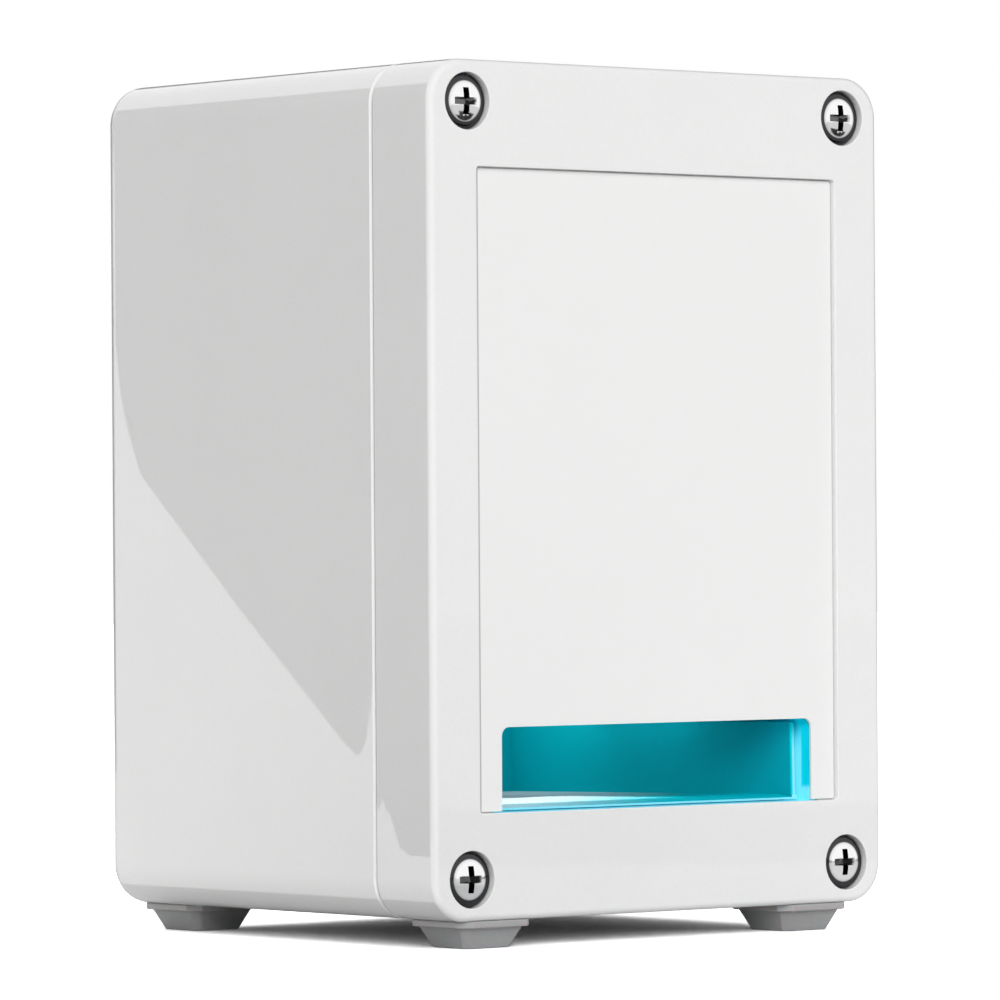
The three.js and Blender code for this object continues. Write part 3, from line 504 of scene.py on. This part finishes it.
def paintBayJoinLight():
    fade, tree = joinPaintedLight, tealPlastic.node_tree
    notDeep = placeMask(tree, (0, 1, 0), fade["deepStart"], fade["deepFull"])
    nearJoin = placeMask(tree, (0, 1, 0), fade["start"], fade["full"])
    lowOnWall = placeMask(tree, (0, 0, 1), fade["top"], fade["pale"])
    onFloor = placeMask(tree, (0, 0, 1), fade["floorTop"], fade["floor"])
    mask = combine(tree, "MAXIMUM", combine(tree, "MULTIPLY", notDeep, lowOnWall, nearJoin),
                   combine(tree, "MULTIPLY", notDeep, onFloor))
    # Painted light: pale colour and a faint glow at the join with the tray's front
    paint(tealPlastic, fade["colour"], mask)
    lightUp(tealPlastic, fade["colour"], mask, fade["light"])


paintHeadShade()
paintTrayLightAndShade()
paintFilmEdgeShade()
paintBayJoinLight()
print("materials made")


# Case blocks: the case's outline drawn in by an inset, along Y
def caseBlock(name, inset, startY, endY):
    reachX, lowZ, highZ = lidHigh.x - inset, lidLow.z + inset, lidHigh.z - inset
    block = addBlock(name, (-reachX, startY, lowZ), (reachX, endY, highZ))
    return roundEdges(block, along("Y"), shape["cornerRadius"] - inset, shape["arcSteps"])


def caseRing(name, inset, width, startY, endY):
    outer = caseBlock(name, inset, startY, endY)
    return cutOut(outer, caseBlock("ringHole", inset + width, startY - overrun, endY + overrun))


# Insets the flat face at openY and pushes it in to floorY, which leaves an open shell
def hollowFrom(piece, openY, floorY, inset):
    startEdit(piece, "FACE")
    pick(piece, "FACE", lambda places, face: allAt(places, "Y", openY) and near(abs(face.normal.y), 1))
    bpy.ops.mesh.inset(thickness=inset * mm, use_even_offset=True)
    bpy.ops.mesh.extrude_region_move(TRANSFORM_OT_translate={"value": (0, (floorY - openY) * mm, 0)})
    endEdit()


# Rear case
bodyShape = {
    "rearEdge": 2.8, "rearSteps": 10, "postRadius": 3.0, "postInset": 4.0,
    "ribShares": (0.37, 0.57, 0.77), "ribHeight": 1.5, "ribThickness": 1.2, "ribSetback": 5.0,
    "ledgeX": 19.55, "ledgeWidth": 4.0, "ledgeReach": 6.0,
    "insertRadius": 3.2, "insertDepth": 6.8, "tipRadius": 2.3, "tipDepth": 9.0,
    "socketMargin": 0.3, "socketRoundShare": 0.49, "socketSteps": 8, "socketEdge": 0.25, "socketZone": (8, 4),
}


# Columns for the lid's screws, posts for the main board, side ribs, ledges under the bay, the seam's tongue
def addBodyInside(body, startY):
    s = bodyShape
    rootY = bodyInnerY + overrun
    joinOn(body, together([addPin("column", shape["columnRadius"], (x, startY, z), (x, rootY, z))
                           for x, z in columnPlaces]))
    boardLow, boardHigh = boxOf("main_board")
    inset = s["postInset"]
    joinOn(body, together([addPin("post", s["postRadius"], (x, boardHigh.y, z), (x, rootY, z), sides=32)
                           for x in (boardLow.x + inset, boardHigh.x - inset)
                           for z in (boardLow.z + inset, boardHigh.z - inset)]))
    ribs = []
    for share in s["ribShares"]:
        z = lidLow.z + share * (lidHigh.z - lidLow.z)
        for side in (-1, 1):
            inner = side * (lidHigh.x - shape["wall"] - s["ribHeight"])
            outer = side * (lidHigh.x - shape["wall"] / 2)
            ribs.append(addBlock("rib", (min(inner, outer), seamY + s["ribSetback"], z),
                                 (max(inner, outer), rootY, z + s["ribThickness"])))
    joinOn(body, together(ribs))
    half, ledgeY = s["ledgeWidth"] / 2, bodyInnerY - s["ledgeReach"]
    lowZ, topZ = lidLow.z + shape["wall"] / 2, bayLow.z - shape["clearance"]
    joinOn(body, together([addBlock("ledge", (x - half, ledgeY, lowZ), (x + half, rootY, topZ))
                           for x in (-s["ledgeX"], s["ledgeX"])]))
    joinOn(body, caseRing("tongue", shape["sealInset"], shape["sealWidth"],
                          seamY - shape["tongue"], seamY + shape["wall"]))


# Holes for the inserts and the screws' tips, and the slot for the socket
def cutBodyHoles(body, startY):
    s = bodyShape
    for name, radius, depth in (("insertHole", s["insertRadius"], s["insertDepth"]),
                                ("tipHole", s["tipRadius"], s["tipDepth"])):
        cutOut(body, together([addPin(name, radius, (x, startY - overrun, z), (x, startY + depth, z))
                               for x, z in columnPlaces]))
    margin = s["socketMargin"]
    slot = addBlock("socketSlot", (socketLow.x - margin, bodyInnerY - 2 * overrun, socketLow.z - margin),
                    (socketHigh.x + margin, caseHigh.y + 2 * overrun, socketHigh.z + margin))
    roundEdges(slot, along("Y"), (socketHigh.z - socketLow.z) * s["socketRoundShare"], s["socketSteps"])
    cutOut(body, slot)
    middleZ = (socketLow.z + socketHigh.z) / 2
    reachX, reachZ = s["socketZone"]
    roundEdges(body, lambda places, edge: allAt(places, "Y", caseHigh.y) and all(
        abs(corner.x) < reachX and abs(corner.z - middleZ) < reachZ for corner in places), s["socketEdge"], 2)


def makeBody():
    startY = seamY + shape["seamGap"]
    body = caseBlock("rearCase", 0, startY, caseHigh.y)
    roundEdges(body, onPlane("Y", caseHigh.y), bodyShape["rearEdge"], bodyShape["rearSteps"])
    roundEdges(body, onPlane("Y", startY), shape["seamEdge"], 1)
    hollowFrom(body, startY, bodyInnerY, shape["wall"] - shape["seamEdge"])
    addBodyInside(body, startY)
    cutBodyHoles(body, startY)
    smooth(body)
    place(body, "case", "case_plastic", casePlastic, "body_shell")


makeBody()
print("rear case made")

# Front lid
lidShape = {
    "frontEdge": 0.95, "frontSteps": 9, "recessCorner": 0.5, "edge": 0.16,
    "rimSlack": 0.02, "boreSlack": 0.05, "rootDepth": 1.5, "skin": 0.01, "holeStart": 0.1,
    "postRadius": 3.0, "postLength": 3.0, "postHole": 1.45, "counterbore": 4.0, "screwHole": 2.25,
    "grooveMargin": 0.3, "sealThickness": 0.6,
    "ribXs": (-16.8, 0.0, 16.8), "ribThickness": 1.2, "ribHeight": 2.0,
}
recessReach, recessY = labelHigh.x + shape["clearance"], labelHigh.y
recessLow, recessTop = labelLow.z - shape["clearance"], labelHigh.z + shape["clearance"]
postPlaces = axesOf("bay_screw")
flangeY = lidInnerY + lidShape["postLength"]


# Screw columns, posts for the bay's flange, and ribs behind the film
def addLidInside(lid, endY):
    s = lidShape
    rootY = lidInnerY - s["rootDepth"]
    joinOn(lid, together([addPin("column", shape["columnRadius"], (x, rootY, z), (x, endY, z))
                          for x, z in columnPlaces]))
    joinOn(lid, together([addPin("post", s["postRadius"], (x, rootY, z), (x, flangeY, z), sides=32)
                          for x, z in postPlaces]))
    half, ribY = s["ribThickness"] / 2, lidInnerY + s["ribHeight"]
    joinOn(lid, together([addBlock("rib", (x - half, rootY, bayHigh.z), (x + half, ribY, recessTop))
                          for x in s["ribXs"]]))


# The film's recess, the window, the screws' holes and the seal's groove
def cutLidHoles(lid, endY):
    s = lidShape
    recess = addBlock("recess", (-recessReach, lidLow.y - overrun, recessLow),
                      (recessReach, recessY, recessTop))
    cutOut(lid, roundEdges(recess, along("Y"), s["recessCorner"], 4))
    margin = window["snoutWall"] + shape["clearance"]
    cutOut(lid, addBlock("window", (-window["reach"] - margin, recessY - s["skin"], window["low"] - margin),
                         (window["reach"] + margin, lidInnerY + overrun, window["top"] + margin)))
    for name, radius, startY, stopY, axes, sides in (
            ("bore", s["counterbore"], lidLow.y - overrun, screwSeatY, columnPlaces, 72),
            ("hole", s["screwHole"], lidLow.y, endY + overrun, columnPlaces, 48),
            ("postHole", s["postHole"], lidInnerY - s["holeStart"], flangeY + overrun, postPlaces, 24)):
        cutOut(lid, together([addPin(name, radius, (x, startY, z), (x, stopY, z), sides) for x, z in axes]))
    margin = s["grooveMargin"]
    cutOut(lid, caseRing("groove", shape["sealInset"] - margin, shape["sealWidth"] + 2 * margin,
                         seamY - shape["tongue"] - s["sealThickness"] - 2 * margin, endY + overrun))


# Edges of the recess and of the counterbores, in the lid's front face
def onRim(places, edge):
    if not allAt(places, "Y", lidLow.y):
        return False
    slack, radius = lidShape["rimSlack"], lidShape["counterbore"]
    recessRim = all(abs(corner.x) <= recessReach + slack and recessLow - slack < corner.z < recessTop + slack
                    for corner in places)
    boreRim = any(all(near(math.dist((corner.x, corner.z), axis), radius, lidShape["boreSlack"])
                      for corner in places) for axis in columnPlaces)
    return recessRim or boreRim


def makeLid():
    endY = seamY - shape["seamGap"]
    lid = caseBlock("frontLid", 0, lidLow.y, endY)
    roundEdges(lid, onPlane("Y", lidLow.y), lidShape["frontEdge"], lidShape["frontSteps"])
    roundEdges(lid, onPlane("Y", endY), shape["seamEdge"], 1)
    hollowFrom(lid, endY, lidInnerY, shape["wall"] - shape["seamEdge"])
    addLidInside(lid, endY)
    cutLidHoles(lid, endY)
    roundEdges(lid, onRim, lidShape["edge"], 3)
    smooth(lid)
    place(lid, "case", "case_plastic", casePlastic, "front_lid")


makeLid()
print("front lid made")

# Bare film in the lid's recess, notched for the window
labelShape = {"windowCorner": 1.3, "windowSteps": 8, "corner": 0.4, "edge": 0.06, "grow": 0.14}


def makeLabel():
    s = labelShape
    grow = Vector((s["grow"], 0, s["grow"]))
    film = addBlock("frontFilm", labelLow - grow, labelHigh + grow)
    roundEdges(film, along("Y"), s["corner"], 4)
    notch = addBlock("notch", (-window["reach"], labelLow.y - overrun, labelLow.z - 2 * overrun),
                     (window["reach"], labelHigh.y + overrun, window["top"]))
    roundEdges(notch, lambda places, edge: along("Y")(places, edge) and places[0].z > labelLow.z,
               s["windowCorner"], s["windowSteps"])
    cutOut(film, notch)
    roundEdges(film, onPlane("Y", labelLow.y), s["edge"], 2)
    smooth(film)
    place(film, "case", "label_film", labelFilm, "front_label")


makeLabel()
print("film made")

# Lid screws: a domed head with a cross recess, made once and copied to the four corners
screwShape = {
    "head": 3.8, "rim": 1.7, "crown": 2.85, "crownTilt": 20, "sides": 64, "shoulderSteps": 7,
    "crownShares": (0.8, 0.6, 0.4, 0.2, 0.05), "shank": 1.95, "shankRoot": 0.5,
    "wings": ((2.5, 0.6, 0.5, 0.6), (0.6, 2.4, 0.6, 0.5)), "depth": 1.9, "edge": 0.07, "edgeAngle": 32,
}


# Radius and rise of the head's rings, from the rim to the middle
def headProfile():
    s = screwShape
    tilt = math.radians(s["crownTilt"])
    ball = s["crown"] / math.sin(tilt)
    shoulder = shape["screwHead"] - s["rim"] - ball * (1 - math.cos(tilt))
    rings = []
    for step in range(1, s["shoulderSteps"] + 1):
        angle = step / s["shoulderSteps"] * math.pi / 2
        rings.append((s["crown"] + (s["head"] - s["crown"]) * math.cos(angle), shoulder * math.sin(angle)))
    for share in s["crownShares"]:
        angle = tilt * share
        rings.append((ball * math.sin(angle), shoulder + ball * (math.cos(angle) - math.cos(tilt))))
    return rings


# The recess: two crossed wings that narrow towards their tips
def makeCross(x0, z0):
    s = screwShape
    topY = screwSeatY - shape["screwHead"]
    floorY = topY + s["depth"]
    cross = None
    for wide, tall, narrowX, narrowZ in s["wings"]:
        wing = addBlock("wing", (x0 - wide, topY - overrun, z0 - tall), (x0 + wide, floorY, z0 + tall))
        startEdit(wing, "FACE")
        pick(wing, "FACE", onPlane("Y", floorY))
        bpy.ops.transform.resize(value=(narrowX, 1, narrowZ), center_override=Vector((x0, topY, z0)) * mm)
        endEdit()
        cross = wing if cross is None else joinOn(cross, wing)
    return cross


def makeScrews():
    s = screwShape
    x0, z0 = columnPlaces[0]
    seatY, endY = screwSeatY, screwHigh.y
    screw = addPin("screw", s["head"], (x0, seatY - s["rim"], z0), (x0, seatY, z0), sides=s["sides"])
    startEdit(screw, "FACE")
    pick(screw, "FACE", onPlane("Y", seatY - s["rim"]))
    radius, front = s["head"], 0.0
    for nextRadius, nextFront in headProfile():
        bpy.ops.mesh.inset(thickness=(radius - nextRadius) * mm, use_even_offset=True)
        bpy.ops.transform.translate(value=(0, (front - nextFront) * mm, 0))
        radius, front = nextRadius, nextFront
    endEdit()
    shank = addPin("shank", s["shank"], (x0, seatY - s["shankRoot"], z0), (x0, endY, z0), sides=32)
    joinOn(screw, roundEdges(shank, onPlane("Y", endY), s["shank"] / 2, 1))
    cutOut(screw, makeCross(x0, z0))
    bevelCorners(screw, s["edge"], 2, s["edgeAngle"])
    smooth(screw, 30)
    for index, (x, z) in enumerate(columnPlaces):
        copy = copyPiece(screw, "lidScrew_%d" % (index + 1), (x - x0, 0, z - z0))
        place(copy, "case", "bright_screw", brightScrew, "lid_screw_%d" % (index + 1))
    bpy.data.objects.remove(screw, do_unlink=True)


makeScrews()
print("lid screws made")

# Rubber feet: a flange and a tapered foot with cut corners
footShape = {"height": 4.0, "flange": 1.0, "top": 13.2, "shoulder": 11.4, "bottom": 8.4, "chamferShare": 0.13,
             "edge": 0.22, "edgeAngle": 20}


def makeFeet():
    s = footShape
    middles = [sum(boxOf("foot_%d" % index), Vector()) / 2 for index in range(1, 5)]
    x0, y0 = middles[0].x, middles[0].y
    half, flangeZ = s["top"] / 2, s["height"] - s["flange"]
    foot = addBlock("foot", (x0 - half, y0 - half, flangeZ), (x0 + half, y0 + half, s["height"]))
    roundEdges(foot, along("Z"), s["top"] * s["chamferShare"], 1)
    startEdit(foot, "FACE")
    pick(foot, "FACE", onPlane("Z", flangeZ))
    bpy.ops.mesh.inset(thickness=(s["top"] - s["shoulder"]) / 2 * mm, use_even_offset=True)
    bpy.ops.mesh.extrude_region_move(TRANSFORM_OT_translate={"value": (0, 0, -flangeZ * mm)})
    share = s["bottom"] / s["shoulder"]
    bpy.ops.transform.resize(value=(share, share, 1), center_override=Vector((x0, y0, 0)) * mm)
    endEdit()
    bevelCorners(foot, s["edge"], 3, s["edgeAngle"])
    smooth(foot)
    for index, middle in enumerate(middles):
        copy = copyPiece(foot, "rubberFoot_%d" % (index + 1), (middle.x - x0, middle.y - y0, 0))
        place(copy, "case", "foot_rubber", footRubber, "foot_%d" % (index + 1))
    bpy.data.objects.remove(foot, do_unlink=True)


makeFeet()
print("feet made")

refineShape = {"mergeReach": 0.01, "flatAngle": 0.5, "cornerAngle": 30}


# A carried-over form whose flat faces are merged and whose corners get a fine round
def refine(nodeName, name, body, slotName, material, edge):
    piece = copyPiece(nodes[nodeName], name)
    piece.parent = None
    for key in list(piece.keys()):
        if key.startswith("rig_"):
            del piece[key]
    startEdit(piece, "VERT")
    bpy.ops.mesh.select_all(action="SELECT")
    bpy.ops.mesh.remove_doubles(threshold=refineShape["mergeReach"] * mm)
    bpy.ops.mesh.dissolve_limited(angle_limit=math.radians(refineShape["flatAngle"]))
    endEdit()
    bevelCorners(piece, edge, 2, refineShape["cornerAngle"])
    smooth(piece)
    place(piece, body, slotName, material, nodeName)


refine("bay_housing", "bayHousing", "case", "teal_plastic", tealPlastic, 0.15)
refine("cassette_tray", "cassetteTray", "tray", "teal_plastic", trayPlastic, 0.12)
refine("reference_tile", "referenceTile", "tray", "white_tile", whiteTile, 0.2)
refine("strike_plate", "strikePlate", "tray", "spring_steel", springSteel, 0.1)
refine("usb_socket", "usbSocket", "case", "bright_screw", socketSteel, 0.06)
refine("cassette_clip", "cassetteClip", "tray", "spring_steel", springSteel, 0.05)
print("bay, tray and socket made")

# Inner nodes keep their solids and get their finishes
finishes = {
    "case_plastic": casePlastic, "label_film": labelFilm, "teal_plastic": tealPlastic,
    "foot_rubber": footRubber, "seal_rubber": sealRubber, "bright_screw": brightScrew,
    "plain_screw": plainScrew, "spring_steel": springSteel, "insert_brass": insertBrass,
    "black_plastic": blackPlastic, "runner_nylon": runnerNylon, "circuit_board": circuitBoard,
    "opal_plastic": opalPlastic, "white_tile": whiteTile, "ribbon_film": ribbonFilm, "lens_glass": lensGlass,
}
slotOf = {row["node"]: row["material_slot"] for row in frame["record"]["subparts"]}
for nodeName, nodeObject in nodes.items():
    nodeObject.data.materials.clear()
    nodeObject.data.materials.append(finishes[slotOf[nodeName]])

# Camera at the photograph's place: yaw in degrees, roll in radians, shift as a share of the frame
view = {"place": (-627.85, -764.62, 57.12), "yaw": 39.464, "roll": -0.00646, "lens": 242.85, "sensor": 36,
        "shift": 0.03955}
cameraData = bpy.data.cameras.new("photoCamera")
cameraData.lens = view["lens"]
cameraData.sensor_width = view["sensor"]
cameraData.shift_y = view["shift"]
camera = bpy.data.objects.new("photoCamera", cameraData)
bpy.context.scene.collection.objects.link(camera)
camera.matrix_world = (Matrix.Translation(Vector(view["place"]) * mm)
                       @ Matrix.Rotation(-math.radians(view["yaw"]), 4, "Z")
                       @ Matrix.Rotation(math.pi / 2, 4, "X") @ Matrix.Rotation(view["roll"], 4, "Z"))
bpy.context.scene.camera = camera


# Floor and world: white for camera and reflections, calmer as light on the object
def rayShare(tree, *kinds):
    path = tree.nodes.new("ShaderNodeLightPath")
    return combine(tree, "MAXIMUM", *[path.outputs[kind] for kind in kinds])


floorLook = {"reach": 3000.0, "bounceColour": 0.72}


# The camera sees two white layers added up, and the object gets light from the calmer one
def makeFloor():
    bpy.ops.object.select_all(action="DESELECT")
    bpy.ops.mesh.primitive_plane_add(size=2 * floorLook["reach"] * mm, location=(0, 0, 0))
    floor = bpy.context.active_object
    floor.name = floor.data.name = "floor"
    material = bpy.data.materials.new("floorPaper")
    material.use_nodes = True
    tree = material.node_tree
    tree.nodes.remove(tree.nodes["Principled BSDF"])
    seen = tree.nodes.new("ShaderNodeAddShader")
    for index in range(2):
        white = addNode(tree, "ShaderNodeBsdfDiffuse", Color=(1, 1, 1, 1))
        tree.links.new(white.outputs[0], seen.inputs[index])
    colour = floorLook["bounceColour"]
    bounce = addNode(tree, "ShaderNodeBsdfDiffuse", Color=(colour, colour, colour, 1))
    mixed = tree.nodes.new("ShaderNodeMixShader")
    tree.links.new(rayShare(tree, "Is Camera Ray"), mixed.inputs[0])
    tree.links.new(bounce.outputs[0], mixed.inputs[1])
    tree.links.new(seen.outputs[0], mixed.inputs[2])
    tree.links.new(mixed.outputs[0], tree.nodes["Material Output"].inputs["Surface"])
    floor.data.materials.append(material)


makeFloor()

worldLight = {"ambient": 0.3, "white": 1.0}


def makeWorld():
    world = bpy.data.worlds.new("studio")
    bpy.context.scene.world = world
    world.use_nodes = True
    tree = world.node_tree
    background = tree.nodes["Background"]
    background.inputs["Color"].default_value = (1, 1, 1, 1)
    strength = addNode(tree, "ShaderNodeMix", A=worldLight["ambient"], B=worldLight["white"])
    tree.links.new(rayShare(tree, "Is Camera Ray", "Is Glossy Ray", "Is Transmission Ray"),
                   strength.inputs["Factor"])
    tree.links.new(strength.outputs["Result"], background.inputs["Strength"])


makeWorld()


def addLamp(name, kind, energy):
    data = bpy.data.lights.new(name, kind)
    data.energy = energy
    lamp = bpy.data.objects.new(name, data)
    lamp.visible_glossy = False
    bpy.context.scene.collection.objects.link(lamp)
    return lamp


# Two broad lamps: the key from the left front, and a weaker one from the right rear; angles in degrees
studioLamps = {
    "keyLamp": {"strength": 2.25, "angle": 35, "from": (-0.46, -0.772, 0.439)},
    "fillLamp": {"strength": 1.73, "angle": 35, "from": (0.55, 0.6, 0.58)},
}
for lampName, settings in studioLamps.items():
    lamp = addLamp(lampName, "SUN", settings["strength"])
    lamp.data.angle = math.radians(settings["angle"])
    lamp.rotation_euler = Vector(settings["from"]).to_track_quat("Z", "Y").to_euler()

# The reader's own light in the bay, straight down on the tray
bayLamps = {
    "bayLamp": {"place": (0, 22, 31.4), "size": (54, 28), "radiance": 0.46, "spread": 180},
    "bayGlow": {"place": (0, 0, 31.3), "size": (54, 66), "radiance": 0.06, "spread": 180},
    "floorLamp": {"place": (-8, -17, 31.2), "size": (38, 28), "radiance": 1.2, "spread": 50},
}
for lampName, settings in bayLamps.items():
    width, length = Vector(settings["size"]) * mm
    lamp = addLamp(lampName, "AREA", math.pi * width * length * settings["radiance"])
    lamp.data.shape = "RECTANGLE"
    lamp.data.size, lamp.data.size_y = width, length
    lamp.data.spread = math.radians(settings["spread"])
    lamp.location = Vector(settings["place"]) * mm
    lamp.visible_camera = False


# Studio cards, seen only in reflections on the case and the screws
def makeCard(name, corners, radiance):
    mesh = bpy.data.meshes.new(name)
    mesh.from_pydata([Vector(corner) * mm for corner in corners], [], [range(len(corners))])
    card = bpy.data.objects.new(name, mesh)
    bpy.context.scene.collection.objects.link(card)
    material = bpy.data.materials.new(name)
    material.use_nodes = True
    tree = material.node_tree
    tree.nodes.remove(tree.nodes["Principled BSDF"])
    emission = addNode(tree, "ShaderNodeEmission", Strength=radiance)
    tree.links.new(emission.outputs[0], tree.nodes["Material Output"].inputs["Surface"])
    mesh.materials.append(material)
    for kind in ("camera", "diffuse", "shadow", "transmission", "volume_scatter"):
        setattr(card, "visible_" + kind, False)


# Left of the case: a bright wall and floor, and dark ones before them that leave the side's wedge of light.
# frontFloor is dark ground in front of the object, which the screws' heads mirror.
cards = {
    "brightWall": {"x": -356, "radiance": 2.05, "outline": (
        (150, 0.1), (1200, 0.1), (1200, 500), (150, 500))},
    "darkPanel": {"x": -335, "radiance": 0.0, "outline": (
        (300, 0), (340.6, 0), (341.7, 2.7), (343.8, 0), (344.9, 0), (345.2, 27), (347.2, 16.2),
        (348.9, 12.6), (350.9, 11.6), (354.7, 14), (390.9, 41.9), (427.5, 71.8), (432.6, 82.8),
        (434.7, 89.5), (445, 150), (700, 150), (700, 485), (300, 485))},
    "brightFloor": {"z": 0.1, "radiance": 2.05, "outline": (
        (-44.5, -60), (-44.5, 700), (-362, 700), (-362, -60))},
    "darkFloor": {"z": 0.2, "radiance": 0.0, "outline": (
        (-336, 340.8), (-232.4, 207.3), (-216.5, 184.5), (-214.3, 175.7), (-213, 160), (-336, 310))},
    "frontFloor": {"z": 0.2, "radiance": 0.03, "outline": (
        (75, -245), (152, -497), (368, -368), (480, -203), (236, -100), (181, -181))},
}
for cardName, card in cards.items():
    corners = [(card["x"], *point) if "x" in card else (*point, card["z"]) for point in card["outline"]]
    makeCard(cardName, corners, card["radiance"])

# Dark curtain behind the object, square to the camera and lower on the left: the outlines mirror it
curtain = {"distance": 700, "left": -1030, "right": 1500, "foot": 0.5, "low": 400, "high": 1200,
           "radiance": 0.02}


def makeCurtain():
    c = curtain
    yaw = math.radians(view["yaw"])
    forward, sideways = Vector((math.sin(yaw), math.cos(yaw), 0)), Vector((math.cos(yaw), -math.sin(yaw), 0))
    outline = ((c["left"], c["foot"]), (c["right"], c["foot"]), (c["right"], c["high"]), (0, c["high"]),
               (0, c["low"]), (c["left"], c["low"]))
    makeCard("rearCurtain", [forward * c["distance"] + sideways * across + Vector((0, 0, z))
                             for across, z in outline], c["radiance"])


makeCurtain()

# Bright wall far behind, dimmer towards the right: the round edge along the top mirrors it
rearWall = {"y": 1200, "left": -1500, "start": -900, "right": 1100, "strips": 20, "low": 380, "high": 2600,
            "bright": 2.0, "dim": 0.95}


def makeRearWall():
    wall = rearWall
    step = (wall["right"] - wall["start"]) / wall["strips"]
    for index in range(wall["strips"]):
        left = wall["start"] + index * step if index else wall["left"]
        right = wall["start"] + (index + 1) * step
        share = index / (wall["strips"] - 1)
        outline = ((left, wall["low"]), (right, wall["low"]), (right, wall["high"]), (left, wall["high"]))
        makeCard("rearWall_%d" % (index + 1), [(x, wall["y"], z) for x, z in outline],
                 wall["bright"] + share * (wall["dim"] - wall["bright"]))


makeRearWall()
print("camera, floor, lights and cards made")

bpy.context.scene.view_settings.view_transform = "Standard"
